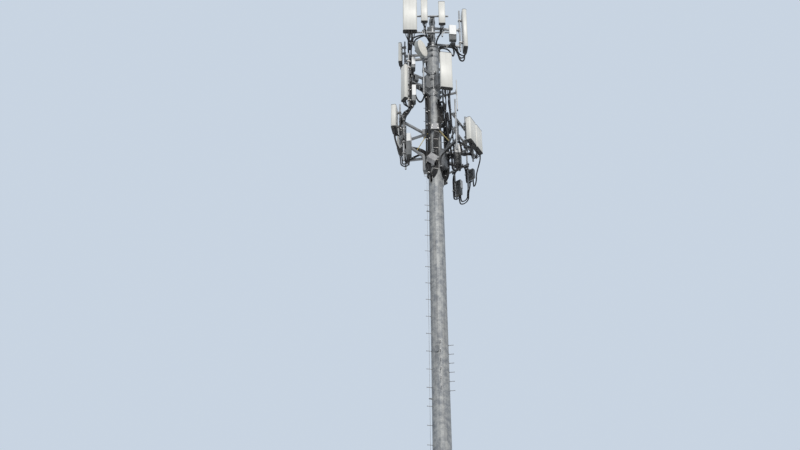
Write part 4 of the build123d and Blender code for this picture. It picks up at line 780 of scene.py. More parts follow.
# Each guard's bearing, reach, height and tilt; its height and its widths at the foot and the
# head; how far its fold goes back and down; and where its bolts are.
GUARDS = (
    (
        (0.0, 0.318, 27.13, 0.0), (0.28, 0.30, 0.24), None,
        ((-0.11, -0.09), (0.11, -0.09), (-0.095, 0.03), (0.095, 0.03)),
    ),
    (
        (-12.0, 0.44, 25.63, 42.5), (0.22, 0.37, 0.37), (0.125, 0.10),
        ((-0.15, -0.07), (0.15, -0.07), (-0.15, 0.07), (0.15, 0.07)),
    ),
)
guard, spacers, guard_bolts = bmesh.new(), bmesh.new(), []
for (bearing, reach, z, tilt), (tall, foot, head), fold, bolt_spots in GUARDS:
    place = seat_at(bearing, reach, z) @ Matrix.Rotation(radians(tilt), 4, "Y")
    low, high = -tall / 2, tall / 2
    outline = [(0, high), (-GUARD_THICK, high), (-GUARD_THICK, low), (0, low)]
    if fold:
        back, drop = fold
        share = GUARD_THICK / Vector(fold).length
        end = (back - GUARD_THICK, low - drop)
        outline[3:] = [end, (end[0] + drop * share, end[1] + back * share), (0, low + GUARD_THICK / 2)]
    halves = [(foot + (head - foot) * max(0, (rise - low) / tall)) / 2 for y, rise in outline]
    sides = [[(side * half, y, rise) for half, (y, rise) in zip(halves, outline)] for side in (-1, 1)]
    lofted(guard, place, sides)
    for x, rise in bolt_spots:
        tube(spacers, place, (x, reach - flat_reach(2, z), rise), (x, 0, rise), SPACER_ACROSS / 2, 0.0, 10)
        guard_bolts.append(moved(place, x, -GUARD_THICK, rise) @ FACE_OUT)
bmesh.ops.recalc_face_normals(guard, faces=guard.faces)
bmesh.ops.bevel(guard, geom=guard.edges, offset=GUARD_EDGE, segments=2, affect="EDGES")
GUARD_STEEL = galvanised("guard_zinc", (0.47, 0.47, 0.48), (0.34, 0.34, 0.35), 0.10, 0.68, 90.0, 3.0)
keep("ring_guard", guard, GUARD_STEEL)
keep("ring_guard_spacers", spacers, BOLT_STEEL)
grown("ring_guard_bolts", BOLT_TREE, guard_bolts, SMALL_BOLT, BOLT_STEEL)

# Frames of the lower level: spreading square arms between brackets and end plates, with
# braces up to a second rail. Sawn, welded and dipped, then bolted to the collars.
# The frames' zinc is painted darker than the other fittings' zinc, to stand in for the shade that the arms
# hang in: painted shade.
FRAME_STEEL_SHADED = galvanised("frame_zinc_shaded", (0.30, 0.31, 0.32), (0.18, 0.19, 0.20), 0.38, 0.50, 85.0, 2.2)
dress(FRAME_STEEL_SHADED, "low_frames", "mid_frames", "light_arms", "top_frames", "dish_mount")
dress(GALVANISED, "low_crossovers", "top_crossovers")
RUSTY_STAIN = (0.16, 0.12, 0.08, 1)
CLAMP_TONES = (0.26, 0.26, 0.255), (0.13, 0.13, 0.13)
CLAMP_STEEL = galvanised("clamp_zinc", *CLAMP_TONES, 0.45, 0.45, 110.0, 5.0, RUSTY_STAIN)
dress(CLAMP_STEEL, "low_clamps", "mid_clamps", "top_clamps")

# Rails and mounting pipes: drawn steel tube with plastic plugs in the ends. Rails run
# across the arms' end plates, and the upright pipes carry the antennas.
RAIL_ACROSS = 0.073
RAIL_WALL = 0.005
PIPE_ACROSS = 0.0603
PIPE_WALL = 0.004
PLATE_THICK = 0.010
PIPE_LINE = RAIL_ACROSS / 2 + PLATE_THICK + 2 * SEAT_GAP + PIPE_ACROSS / 2
# Each side's bearing, reach, rail heights and rail ends
LOW_RIGHT = (61.0, 1.230, (26.0, 26.65), (-1.08, 0.82))
LOW_LEFT = (-100.0, 1.080, (26.35, 27.30), (-0.75, 0.90))
LOW_BACK = (142.0, 1.100, (26.0, 26.7), (-0.68, 0.90))
# Upright pipes: their place along the rails, their foot and their head
LOW_RIGHT_PIPES = ((-0.96, 25.09, 27.36), (-0.175, 25.50, 27.15), (0.345, 25.50, 27.15))
LOW_LEFT_PIPES = ((0.640, 26.0, 28.05), (-0.560, 26.0, 28.05))
LOW_BACK_PIPES = ((-0.560, 24.95, 27.0), (0.0, 24.90, 26.90), (0.740, 25.50, 27.20))
LOW_SIDES = ((*LOW_RIGHT, LOW_RIGHT_PIPES), (*LOW_LEFT, LOW_LEFT_PIPES), (*LOW_BACK, LOW_BACK_PIPES))
LEFT_RADIO_PIPE = (0.750, 25.33, 27.50)
RIGHT_RADIO_PIPE = (25.28, 26.30)
PIPE_STEEL = galvanised("pipe_zinc", (0.38, 0.39, 0.40), (0.24, 0.25, 0.26), 0.42, 0.46, 95.0, 2.6)
PLUG_LIP = 0.003


def weathered(name, scales, tones, dust, share, relief, rough=None, **values):
    """A moulded or painted surface in two tones, with rain-drawn dust and a fine grain."""
    made, tree, shader = new_material(name, **values)
    streak, patch, grain = weather(tree, *scales)
    base = blend_colour(tree, patch, *((*tone, 1) for tone in tones))
    if dust:
        base = blend_colour(tree, between(tree, streak, 0.0, share), base, (*dust, 1))
    tree.links.new(base, shader["Base Color"])
    if rough:
        tree.links.new(between(tree, grain, *rough), shader["Roughness"])
    if relief:
        bump(tree, shader, grain, *relief)
    return made


# Dark grey moulded plastic, chalky where rain has drawn dust down it
CAP_PLASTIC = weathered(
    "cap_plastic", (6.0, 14.0, 400.0), ((0.035, 0.037, 0.04), (0.075, 0.078, 0.08)),
    (0.16, 0.155, 0.145), 0.35, (0.12, 0.0008), Roughness=0.6, Specular_IOR_Level=0.4,
)


def pipe_front(reach):
    """Radius of the upright pipes' axis in front of a rail."""
    return reach + PIPE_LINE


def upright(shape, plugs, seat, z_low, z_high):
    """A mounting pipe on a seat, with a plug in each end."""
    tube(shape, seat, (0, 0, z_low), (0, 0, z_high), PIPE_ACROSS / 2, PIPE_WALL)
    for low in (z_low + PLUG_LIP / 2, z_high - PLUG_LIP):
        tube(plugs, seat, (0, 0, low), (0, 0, low + PLUG_LIP / 2), PIPE_ACROSS / 2 - PIPE_WALL)


def rail(shape, plugs, bearing, reach, ends, z):
    """A level rail across the arms' ends, with a plug in each end."""
    seat = bearing_turn(bearing)
    tube(shape, seat, (ends[0], -reach, z), (ends[1], -reach, z), RAIL_ACROSS / 2, RAIL_WALL, 24)
    for t, step in zip(ends, (PLUG_LIP, -PLUG_LIP)):
        spots = (t + step / 2, -reach, z), (t + step, -reach, z)
        tube(plugs, seat, *spots, RAIL_ACROSS / 2 - RAIL_WALL)


def on_pipe(bearing, line, turn, t=0.0):
    """An upright pipe's axis, turned so that local -Y faces the bearing turn."""
    return seat_at(bearing, line, 0.0, t) @ bearing_turn(turn - bearing)


ARM_HALF = 0.038
BRACKET_ROOT = 0.074
RIGHT_ARM_FOOT = 0.43325
RIGHT_SPREAD = 0.520
RIGHT_ALONG = 0.40
SIDE_LINE = ARM_HALF + PLATE_THICK + 2 * SEAT_GAP + PIPE_ACROSS / 2


def arm_seat(bearing, start, end, along):
    """A spot beside an arm, with X along the arm, out at the line of the pipe it carries."""
    x = start[0] + (end[0] - start[0]) * along
    y = start[1] + (end[1] - start[1]) * along
    lean = Matrix.Rotation(atan2(end[1] - start[1], end[0] - start[0]), 4, "Z")
    return moved(moved(bearing_turn(bearing), x, y, 0) @ lean, 0, -SIDE_LINE, 0)


right_arm_end = LOW_RIGHT[1] - RAIL_ACROSS / 2 - SEAT_GAP - PLATE_THICK
right_arm = (BRACKET_ROOT, -RIGHT_ARM_FOOT), (RIGHT_SPREAD, -right_arm_end)
RIGHT_RADIO_SEAT = arm_seat(LOW_RIGHT[0], *right_arm, RIGHT_ALONG)
LEFT_RADIO_SEAT = on_pipe(LOW_LEFT[0], LOW_LEFT[1] - PIPE_LINE, LOW_LEFT[0] + 180, LEFT_RADIO_PIPE[0])
pipes, rails, plugs = bmesh.new(), bmesh.new(), bmesh.new()
for bearing, reach, heights, ends, spots in LOW_SIDES:
    for z in heights:
        rail(rails, plugs, bearing, reach, ends, z)
    for t, z_low, z_high in spots:
        upright(pipes, plugs, on_pipe(bearing, pipe_front(reach), bearing, t), z_low, z_high)
upright(pipes, plugs, LEFT_RADIO_SEAT, *LEFT_RADIO_PIPE[1:])
upright(pipes, plugs, RIGHT_RADIO_SEAT, *RIGHT_RADIO_PIPE)
keep("lower_pipes", pipes, PIPE_STEEL, ["low_pipes"])
keep("lower_rails", rails, PIPE_STEEL, ["low_rails"])

# Upright pipes of the middle level, on plates at the ends of straight stand-off arms.
MID_FRONT = (34.0, 0.727)
MID_LEFT = (-60.0, 1.077)
MID_BACK = (178.0, 0.900)
DISH_ARM = (-42.0, 0.566)
FRONT_TURN = 10.0
MID_PIPES = (
    (*MID_FRONT, 28.45, 30.35), (*MID_LEFT, 27.70, 30.50),
    (*MID_BACK, 28.30, 30.25), (*DISH_ARM, 28.55, 30.90),
)
pipes = bmesh.new()
for bearing, line, z_low, z_high in MID_PIPES:
    upright(pipes, plugs, on_pipe(bearing, line, bearing), z_low, z_high)
keep("middle_pipes", pipes, PIPE_STEEL, ["mid_pipes"])

# The top pipe stands on the cap flange and carries two front rails and a pair of arms;
# the cap's ribs are welded to both.
TOP_PIPE_ACROSS = 0.219
TOP_PIPE_WALL = 0.008
TOP_PIPE_SPAN = (31.22, 32.85)
FRONT_RAIL_HEIGHTS = (31.8, 32.68)
FRONT_RAIL_REACH = 0.360
FRONT_RAIL_ENDS = (-1.01, 0.62)
FRONT_PIPES = ((-0.870, 31.45, 33.70), (-0.316, 31.55, 33.40), (0.361, 31.50, 33.30))
TOP_SIDE = (0.0, FRONT_RAIL_REACH, FRONT_RAIL_HEIGHTS, FRONT_RAIL_ENDS, FRONT_PIPES)
TOP_RIGHT = (95.0, 1.078)
TOP_LEFT = (-98.0, 1.075)
TOP_RIGHT_PIPE = (31.25, 33.45)
TOP_LEFT_PIPE = (30.55, 31.80)
TOP_RADIO_PIPE = (31.30, 32.56)
TOP_RADIO_ALONG = 0.70
TOP_RADIO_SEAT = arm_seat(TOP_RIGHT[0], (0, 0), (0, -TOP_RIGHT[1]), TOP_RADIO_ALONG)
TOP_RIGHT_SEAT = on_pipe(*TOP_RIGHT, TOP_RIGHT[0])
TOP_LEFT_SEAT = on_pipe(*TOP_LEFT, TOP_LEFT[0])
FRONT_SEATS = [on_pipe(0, pipe_front(FRONT_RAIL_REACH), 0, t) for t, low, high in FRONT_PIPES]
dress(GALVANISED, "shaft_cap")
mast = bmesh.new()
mast_top = TOP_PIPE_SPAN[1]
tube(mast, bearing_turn(0), *((0, 0, z) for z in TOP_PIPE_SPAN), TOP_PIPE_ACROSS / 2, TOP_PIPE_WALL, 40)
plug_ends = (0, 0, mast_top - PLUG_LIP), (0, 0, mast_top - PLUG_LIP / 2)
tube(plugs, bearing_turn(0), *plug_ends, TOP_PIPE_ACROSS / 2 - TOP_PIPE_WALL, 0.0, 40)
keep("top_mast", mast, PIPE_STEEL, ["top_pipe"])
pipes, rails = bmesh.new(), bmesh.new()
for z in FRONT_RAIL_HEIGHTS:
    rail(rails, plugs, 0, FRONT_RAIL_REACH, FRONT_RAIL_ENDS, z)
for seat, (t, z_low, z_high) in zip(FRONT_SEATS, FRONT_PIPES):
    upright(pipes, plugs, seat, z_low, z_high)
upright(pipes, plugs, TOP_RIGHT_SEAT, *TOP_RIGHT_PIPE)
upright(pipes, plugs, TOP_LEFT_SEAT, *TOP_LEFT_PIPE)
upright(pipes, plugs, TOP_RADIO_SEAT, *TOP_RADIO_PIPE)
keep("upper_pipes", pipes, PIPE_STEEL, ["top_pipes"])
keep("upper_rails", rails, PIPE_STEEL, ["top_rails"])
keep("pipe_plugs", plugs, CAP_PLASTIC)

# U-bolts: bent threaded rods that hold every rail and pipe against its plate, each with
# two nuts behind the plate.
U_ROD = 0.006
U_LEG = 0.052
RAIL_LEG = U_LEG + 0.006
U_NUT_SHARE = -0.84
PLATE_HOLES = 0.062
ARM_SPREADS = ((LOW_RIGHT, 0.520), (LOW_LEFT, 0.500), (LOW_BACK, 0.380))


def u_bolt_shape(tree, given):
    """A half ring about the local Z axis with two legs along -Y and a nut on each leg."""
    arc = {"Resolution": 12, "Radius": given["Bend"], "Start Angle": 0.0, "Sweep Angle": pi}
    parts = [node(tree, "GeometryNodeCurveArc", arc, mode="RADIUS").outputs["Curve"]]
    nuts = []
    for side in (1.0, -1.0):
        x = times(tree, given["Bend"], side)
        leg = {"Start": vector_of(tree, X=x), "End": vector_of(tree, X=x, Y=times(tree, given["Leg"], -1.0))}
        parts.append(node(tree, "GeometryNodeCurvePrimitiveLine", leg, mode="POINTS").outputs[0])
        size = times(tree, given["Rod"], 2.0)
        nut = {"Vertices": 6, "Radius": size, "Depth": size}
        nut = node(tree, "GeometryNodeMeshCylinder", nut).outputs["Mesh"]
        seat = vector_of(tree, X=x, Y=times(tree, given["Leg"], U_NUT_SHARE))
        lay = node(tree, "FunctionNodeEulerToRotation", {"Euler": (pi / 2, 0.0, 0.0)}).outputs[0]
        sockets = {"Geometry": nut, "Translation": seat, "Rotation": lay}
        nuts.append(node(tree, "GeometryNodeTransform", sockets).outputs[0])
    ring = {"Resolution": 8, "Radius": given["Rod"]}
    ring = node(tree, "GeometryNodeCurvePrimitiveCircle", ring, mode="RADIUS").outputs["Curve"]
    sockets = {"Curve": joined(tree, parts), "Profile Curve": ring, "Fill Caps": True}
    return joined(tree, (node(tree, "GeometryNodeCurveToMesh", sockets).outputs[0], *nuts))


U_TREE = fitting_tree("u_bolts", {"Bend": 0.037, "Leg": U_LEG, "Rod": U_ROD}, u_bolt_shape)
OUT_FRONT = Matrix.Rotation(pi, 4, "Z")
ABOUT_RAIL = Matrix.Rotation(pi / 2, 4, "Y")
pipe_loops = []
rail_loops = []


def hold_pipe(seat, heights):
    """Pairs of loops round the front of an upright pipe, with their legs towards +Y."""
    for z in heights:
        for rise in (-PLATE_HOLES, PLATE_HOLES):
            pipe_loops.append(moved(seat, 0, 0, z + rise) @ OUT_FRONT)


def hold_rail(bearing, reach, t, z, lay=OUT_FRONT):
    """A pair of loops round a rail, with their legs towards the plate in front or behind."""
    for shift in (-PLATE_HOLES, PLATE_HOLES):
        rail_loops.append(seat_at(bearing, reach, z, t + shift) @ lay @ ABOUT_RAIL)


for bearing, reach, heights, ends, spots in (*LOW_SIDES, TOP_SIDE):
    for t, z_low, z_high in spots:
        for z in heights:
            hold_pipe(on_pipe(bearing, pipe_front(reach), bearing, t), (z,))
            hold_rail(bearing, reach, t, z, Matrix.Identity(4))
for z in LOW_LEFT[2]:
    hold_pipe(LEFT_RADIO_SEAT, (z,))
    hold_rail(*LOW_LEFT[:2], LEFT_RADIO_PIPE[0], z)
for side, spread_out in ARM_SPREADS:
    for z in side[2]:
        for t in (-spread_out, spread_out):
            hold_rail(*side[:2], t, z)
for z in FRONT_RAIL_HEIGHTS:
    hold_rail(0, FRONT_RAIL_REACH, 0, z)
hold_pipe(RIGHT_RADIO_SEAT, LOW_RIGHT[2][:1])
for z in (31.5, 32.38):
    hold_pipe(TOP_RIGHT_SEAT, (z,))
    hold_pipe(TOP_RADIO_SEAT, (z,))
hold_pipe(TOP_LEFT_SEAT, (30.79, 31.02))
for line in (MID_FRONT, MID_LEFT, MID_BACK):
    hold_pipe(on_pipe(*line, line[0]), (29.14, 29.52))
hold_pipe(on_pipe(*DISH_ARM, DISH_ARM[0]), (28.75, 29.80))
PIPE_LOOP = {"Bend": PIPE_ACROSS / 2 + U_ROD, "Leg": U_LEG, "Rod": U_ROD}
RAIL_LOOP = {"Bend": RAIL_ACROSS / 2 + U_ROD, "Leg": RAIL_LEG, "Rod": U_ROD}
grown("pipe_u_bolts", U_TREE, pipe_loops, PIPE_LOOP, BOLT_STEEL)
grown("rail_u_bolts", U_TREE, rail_loops, RAIL_LOOP, BOLT_STEEL)

# Antennas: a pultruded glass-fibre cover with rounded corners over a metal tray, closed by
# a dark moulded cap at each end. The foot cap carries the round cable sockets.
CAP_HEIGHT = 0.018
CAP_LIP = 0.003
CAP_GROOVE = 0.002
CORNER_SHARE = 0.28
CORNER_STEPS = 8
LEAST_CORNER = 0.002
CLAMP_REACH = 0.105
TRAY_SHARE = 0.30
TRAY_HALF = 0.012
TRAY_THICK = 0.008
SOCKET_SPREAD = 0.8
SOCKET_SIZE = {"Across": 0.028, "Long": 0.032}
CLAMP_ROD = 0.006
CLAMP_ROD_SIDE = 0.042
CLAMP_ROD_ENDS = (0.0432, -0.098)
CLAMP_NUT_LINE = 0.0452
SQUARE = (0.480, 0.190, 1.030, 4)
TALL = (0.453, 0.150, 1.770, 6)
SLIM = (0.300, 0.150, 1.660, 4)
BROAD = (0.540, 0.200, 2.100, 6)
NARROW = (0.253, 0.120, 1.200, 3)
RIGHT_TALL = (0.420, 0.165, 2.050, 6)
SMALL = (0.300, 0.130, 1.000, 4)
LOW_ANTENNAS = (
    (LOW_RIGHT, -0.175, 25.86, (26.20, 26.82)), (LOW_RIGHT, 0.345, 25.88, (26.20, 26.82)),
    (LOW_LEFT, 0.640, 26.87, (27.00, 27.65)), (LOW_LEFT, -0.560, 26.87, (27.00, 27.65)),
    (LOW_BACK, 0.740, 25.90, (26.20, 26.85)),
)
low_seats = [on_pipe(side[0], pipe_front(side[1]), side[0], t) for side, t, z, held in LOW_ANTENNAS]
front_seat = on_pipe(*MID_FRONT, FRONT_TURN)
left_seat = on_pipe(*MID_LEFT, MID_LEFT[0])
back_seat = on_pipe(*MID_BACK, MID_BACK[0])
# Each antenna's seat, size, foot and clamp heights, by level and by the name of its nodes
ANTENNAS = {
    ("lower", "low"): [(seat, SQUARE, *spot[2:]) for seat, spot in zip(low_seats, LOW_ANTENNAS)],
    ("middle", "mid"): [
        (front_seat, TALL, 28.51, (28.70, 30.05)),
        (left_seat, SLIM, 28.10, (28.35, 28.90)),
        (back_seat, SLIM, 28.40, (28.60, 29.85)),
    ],
    ("upper", "top"): [
        (FRONT_SEATS[0], BROAD, 31.55, (32.00, 33.30)),
        (FRONT_SEATS[1], NARROW, 32.12, (32.25, 33.10)),
        (FRONT_SEATS[2], NARROW, 32.00, (32.15, 33.05)),
        (TOP_RIGHT_SEAT, RIGHT_TALL, 31.33, (31.70, 32.90)),
        (TOP_LEFT_SEAT, SMALL, 30.66, (31.18, 31.50)),
    ],
}
# Pale grey gel coat: slightly mottled, streaked by rain, satin
RADOME_PLASTIC = weathered(
    "radome_plastic", (2.2, 11.0, 220.0), ((0.82, 0.815, 0.765), (0.75, 0.745, 0.70)),
    (0.52, 0.51, 0.48), 0.28, (0.05, 0.0006), (0.36, 0.52), Roughness=0.42,
    Specular_IOR_Level=0.45, Coat_Weight=0.12, Coat_Roughness=0.35,
)


def rounded(width, depth, corner, levels):
    """Rings round a rectangle that lies behind local -Y, at levels of (height, inset)."""
    rings = []
    for z, inset in levels:
        ring = []
        reach = max(corner - inset, LEAST_CORNER)
        for quarter, (sx, sy) in enumerate(((1, 1), (-1, 1), (-1, -1), (1, -1))):
            x = sx * (width / 2 - inset - reach)
            y = sy * (depth / 2 - inset - reach) - depth / 2
            for step in range(CORNER_STEPS + 1):
                angle = pi / 2 * (quarter + step / CORNER_STEPS)
                ring.append((x + reach * cos(angle), y + reach * sin(angle), z))
        rings.append(ring)
    return rings


def antenna_cover(shape, place, width, depth, height):
    """The cover, drawn in a little where it goes into the caps."""
    foot, head = CAP_HEIGHT + CAP_GROOVE, height - CAP_HEIGHT
    levels = [(CAP_HEIGHT, CAP_GROOVE), (foot, 0.0), (head - CAP_GROOVE, 0.0), (head, CAP_GROOVE)]
    lofted(shape, place, rounded(width, depth, depth * CORNER_SHARE, levels))


def antenna_caps(shape, place, width, depth, height):
    """The two end caps: a skirt over the cover and a crowned plate inside a raised edge."""
    outer = width + 2 * CAP_LIP, depth + 2 * CAP_LIP, depth * CORNER_SHARE + CAP_LIP
    foot = [(0.005, 0.012), (0.001, 0.010), (0.0, 0.006), (0.004, 0.0), (CAP_HEIGHT, 0.0)]
    lid = [(height - CAP_HEIGHT, 0.0), (height - 0.006, 0.0), (height - 0.001, 0.004), (height, 0.010)]
    for levels in (foot, lid):
        lofted(shape, moved(place, 0, CAP_LIP, 0), rounded(*outer, levels))


def tray_ribs(shape, place, width, height):
    """The metal tray behind the cover: two long folded edges."""
    for side in (-1, 1):
        near, far = side * width * TRAY_SHARE - TRAY_HALF, side * width * TRAY_SHARE + TRAY_HALF
        ring = ((near, 0.0), (far, 0.0), (far, TRAY_THICK), (near, TRAY_THICK))
        lofted(shape, place, at_height(ring, (CAP_HEIGHT * 2, height - CAP_HEIGHT * 2)))


# A hexagon flange, a knurled ring and the round barrel of a cable socket
SOCKET_TREE = fitting_tree("cable_sockets", SOCKET_SIZE, bar_stack, (
    (6, ("Across", 0.62), ("Long", 0.16), ("Long", 0.0)),
    (20, ("Across", 0.5), ("Long", 0.42), ("Long", 0.16)),
    (16, ("Across", 0.40), ("Long", 0.42), ("Long", 0.58)),
))
DOWNWARD = Matrix.Rotation(pi, 4, "X")


def socket_places(place, width, depth, count):
    """Placements of the sockets in a row under a foot."""
    pitch = width * SOCKET_SPREAD / count
    return [moved(place, (i - (count - 1) / 2) * pitch, -depth / 2, 0) @ DOWNWARD for i in range(count)]


def clamp_bolts(seat, heights, rods, bolts):
    """Two long rods through each clamp, with a nut on the back end."""
    for z in heights:
        for side in (-1, 1):
            x = side * CLAMP_ROD_SIDE
            tube(rods, seat, *((x, y, z) for y in CLAMP_ROD_ENDS), CLAMP_ROD, 0.0, 8)
            bolts.append(moved(seat, x, CLAMP_NUT_LINE, z) @ Matrix.Rotation(-pi / 2, 4, "X"))


SOCKET_BRASS = galvanised("socket_plating", (0.50, 0.48, 0.42), (0.30, 0.28, 0.25), 0.7, 0.35, 200.0, 12.0)
sockets = []
clamp_nuts = []
clamp_rods = bmesh.new()
for (level, prefix), antennas in ANTENNAS.items():
    covers, caps, trays = bmesh.new(), bmesh.new(), bmesh.new()
    for seat, (width, depth, height, count), z, held in antennas:
        place = moved(seat, 0, -CLAMP_REACH, z)
        antenna_cover(covers, place, width, depth, height)
        antenna_caps(caps, place, width, depth, height)
        tray_ribs(trays, place, width, height)
        sockets += socket_places(place, width, depth, count)
        clamp_bolts(seat, held, clamp_rods, clamp_nuts)
    keep(f"{level}_antenna_covers", covers, RADOME_PLASTIC, [f"{prefix}_radomes"], 50)
    keep(f"{level}_antenna_caps", caps, CAP_PLASTIC, [f"{prefix}_radome_caps"], 50)
    keep(f"{level}_antenna_trays", trays, GALVANISED)

# Radios: die-cast cases with cooling fins down the front, a pale plastic sun shield over
# part of them, two lugs on the head, and cable sockets in the foot.
FIN_PITCH = 0.034
FIN_THICK = 0.004
FIN_DEPTH = 0.026
FIN_MARGIN = 0.020
SHIELD_THICK = 0.005
CASE_EDGE = 0.008
LUG_SHARE = 0.3
LUG_RISE = 0.0035
RADIO_SOCKETS = 4
TALL_RADIO = (0.280, 0.160, 0.950, 0.36)
GREY_BOX = (0.330, 0.160, 0.380, 0.0)
LARGE_RADIO = (0.300, 0.170, 0.620, 0.55)
SMALL_RADIO = (0.220, 0.130, 0.780, 0.47)
SHORT_RADIO = (0.270, 0.150, 0.520, 0.70)
LONG_RADIO = (0.270, 0.160, 0.760, 0.65)
BACK_SEATS = [on_pipe(LOW_BACK[0], pipe_front(LOW_BACK[1]), LOW_BACK[0], t) for t in (-0.560, 0.0)]
MID_RADIO_SEAT = on_pipe(*MID_LEFT, 90.0)
RADIOS = {
    ("lower", "low"): [
        (LEFT_RADIO_SEAT, TALL_RADIO, 25.49, (25.65, 26.15)),
        (BACK_SEATS[0], GREY_BOX, 25.53, (25.63, 25.85)),
        (BACK_SEATS[1], LARGE_RADIO, 25.06, (25.18, 25.55)),
        (RIGHT_RADIO_SEAT, SMALL_RADIO, 25.40, (25.52, 25.84)),
    ],
    ("middle", "mid"): [
        (MID_RADIO_SEAT, SHORT_RADIO, 29.68, (29.77, 30.08)),
        (MID_RADIO_SEAT, LONG_RADIO, 28.04, (28.16, 28.66)),
    ],
    ("upper", "top"): [(TOP_RADIO_SEAT, LONG_RADIO, 31.53, (31.72, 32.18))],
}
# Light grey powder coat on cast aluminium, with dust streaked down it by rain
RADIO_PAINT = weathered(
    "radio_case", (4.0, 10.0, 320.0), ((0.155, 0.165, 0.17), (0.105, 0.112, 0.118)),
    (0.22, 0.215, 0.20), 0.4, (0.10, 0.0008), (0.40, 0.58), Metallic=0.1, Specular_IOR_Level=0.4,
)
# Near-white moulded plastic, a little yellowed and rain-marked
SHIELD_PLASTIC = weathered(
    "radio_shield", (5.0, 16.0, 260.0), ((0.86, 0.87, 0.87), (0.78, 0.79, 0.785)),
    (0.50, 0.48, 0.44), 0.22, (0.05, 0.0006), Roughness=0.45, Specular_IOR_Level=0.45,
)


def block(shape, place, low, high, edge):
    """A box between two local corners with its upright edges and ends eased."""
    width, depth = high[0] - low[0], high[1] - low[1]
    centre = moved(place, (low[0] + high[0]) / 2, high[1], 0)
    ease = edge * 0.6
    rings = []
    for z, inset in ((low[2], ease), (low[2] + ease, 0.0), (high[2] - ease, 0.0), (high[2], ease)):
        x, y = width / 2 - inset, depth - inset
        rings.append([
            (x, -inset - edge, z), (x - edge, -inset, z), (edge - x, -inset, z), (-x, -inset - edge, z),
            (-x, edge - y, z), (edge - x, -y, z), (x - edge, -y, z), (x, edge - y, z),
        ])
    lofted(shape, centre, rings)


def fin_shape(tree, given):
    """A row of cooling fins along local X: bars on a mesh line."""
    count = node(tree, "FunctionNodeFloatToInt", {"Float": given["Count"]}).outputs[0]
    gaps = calc(tree, "SUBTRACT", given["Count"], 1.0)
    start = vector_of(tree, X=times(tree, times(tree, gaps, given["Pitch"]), -0.5))
    line = {"Count": count, "Start Location": start, "Offset": vector_of(tree, X=given["Pitch"])}
    row = node(tree, "GeometryNodeMeshLine", line).outputs[0]
    size = vector_of(tree, X=given["Thick"], Y=given["Deep"], Z=given["Tall"])
    fin = node(tree, "GeometryNodeMeshCube", {"Size": size}).outputs["Mesh"]
    lift = vector_of(tree, Y=times(tree, given["Deep"], -0.5), Z=times(tree, given["Tall"], 0.5))
    fin = node(tree, "GeometryNodeTransform", {"Geometry": fin, "Translation": lift}).outputs[0]
    return node(tree, "GeometryNodeInstanceOnPoints", {"Points": row, "Instance": fin}).outputs[0]


def sun_shield(shape, place, width, depth, low, height):
    """A shield bent round the front and the sides, with a lid over the head."""
    outer, near, bend = width / 2 + SHIELD_THICK, -FIN_MARGIN, 0.012
    inner, bent, front = outer - SHIELD_THICK, bend + 0.002, -depth
    ring = [
        (-outer, near), (-outer, front + bend), (-outer + bend, front),
        (outer - bend, front), (outer, front + bend), (outer, near),
        (inner, near), (inner, front + bent), (outer - bent, front + SHIELD_THICK),
        (-outer + bent, front + SHIELD_THICK), (-inner, front + bent), (-inner, near),
    ]
    lofted(shape, place, at_height(ring, (low, height)))
    corners = (-outer, front + 0.002, height + SEAT_GAP), (outer, near, height + SHIELD_THICK)
    block(shape, place, *corners, 0.002)


FIN_SIZE = {"Count": 8.0, "Pitch": FIN_PITCH / 2, "Thick": FIN_THICK, "Deep": FIN_DEPTH, "Tall": 0.5}
FIN_TREE = fitting_tree("cooling_fins", FIN_SIZE, fin_shape)
for (level, prefix), radios in RADIOS.items():
    cases, shields, fins = bmesh.new(), bmesh.new(), []
    for seat, (width, depth, height, cover), z, held in radios:
        place = moved(seat, 0, -CLAMP_REACH, z)
        core = depth - FIN_DEPTH - SHIELD_THICK
        block(cases, place, (-width / 2, -core, 0), (width / 2, 0, height), CASE_EDGE)
        sill = width / 2 - 0.01
        block(cases, place, (-sill, -core - 0.008, 0.004), (sill, -core + 0.001, FIN_MARGIN), 0.002)
        count = int((width - 2 * FIN_MARGIN) / FIN_PITCH) * 2 + 1
        values = {**FIN_SIZE, "Count": count, "Tall": height - FIN_MARGIN}
        row = [moved(place, 0, -core, FIN_MARGIN)]
        fins.append(fittings(f"{level}_fins", FIN_TREE, row, values, RADIO_PAINT))
        for side in (-1, 1):
            x = side * width * LUG_SHARE
            low, high = (x - 0.006, -core - 0.012, height), (x + 0.006, -core + 0.004, height + LUG_RISE)
            block(cases, place, low, high, 0.001)
        sockets += socket_places(place, width, core, RADIO_SOCKETS)
        clamp_bolts(seat, held, clamp_rods, clamp_nuts)
        if cover:
            sun_shield(shields, place, width, depth, height * (1 - cover), height)
    for mesh in fins:
        cases.from_mesh(mesh)
    keep(f"{level}_radio_cases", cases, RADIO_PAINT, [f"{prefix}_radios"])
    keep(f"{level}_sun_shields", shields, SHIELD_PLASTIC, [f"{prefix}_shields"])
grown("cable_sockets", SOCKET_TREE, sockets, SOCKET_SIZE, SOCKET_BRASS)
keep("clamp_rods", clamp_rods, BOLT_STEEL)
grown("clamp_nuts", BOLT_TREE, clamp_nuts, SMALL_BOLT, BOLT_STEEL)

# The dish: a spun aluminium drum and bowl behind a flat weather cover that a hoop clips
# round the rim, on an offset beam clamped to its own pipe.
DISH_CENTRE = (-0.395, -0.850, 30.480)
DISH_TURN = 57.0
DISH_RADIUS = 0.330
DISH_DRUM = 0.160
DISH_HEAD = 0.240
DISH_COVER_THICK = 0.012
DISH_SKIN = 0.004
DISH_SIDES = 72
BOWL_STEPS = 9
BEAD_FEET = (0.05, DISH_DRUM - 0.012)
HOOP_BOLTS = 12
HOOP_LINE = 0.03
HOOP_BOLT = {"Across": 0.010, "Thick": 0.005, "Shank": 0.003}
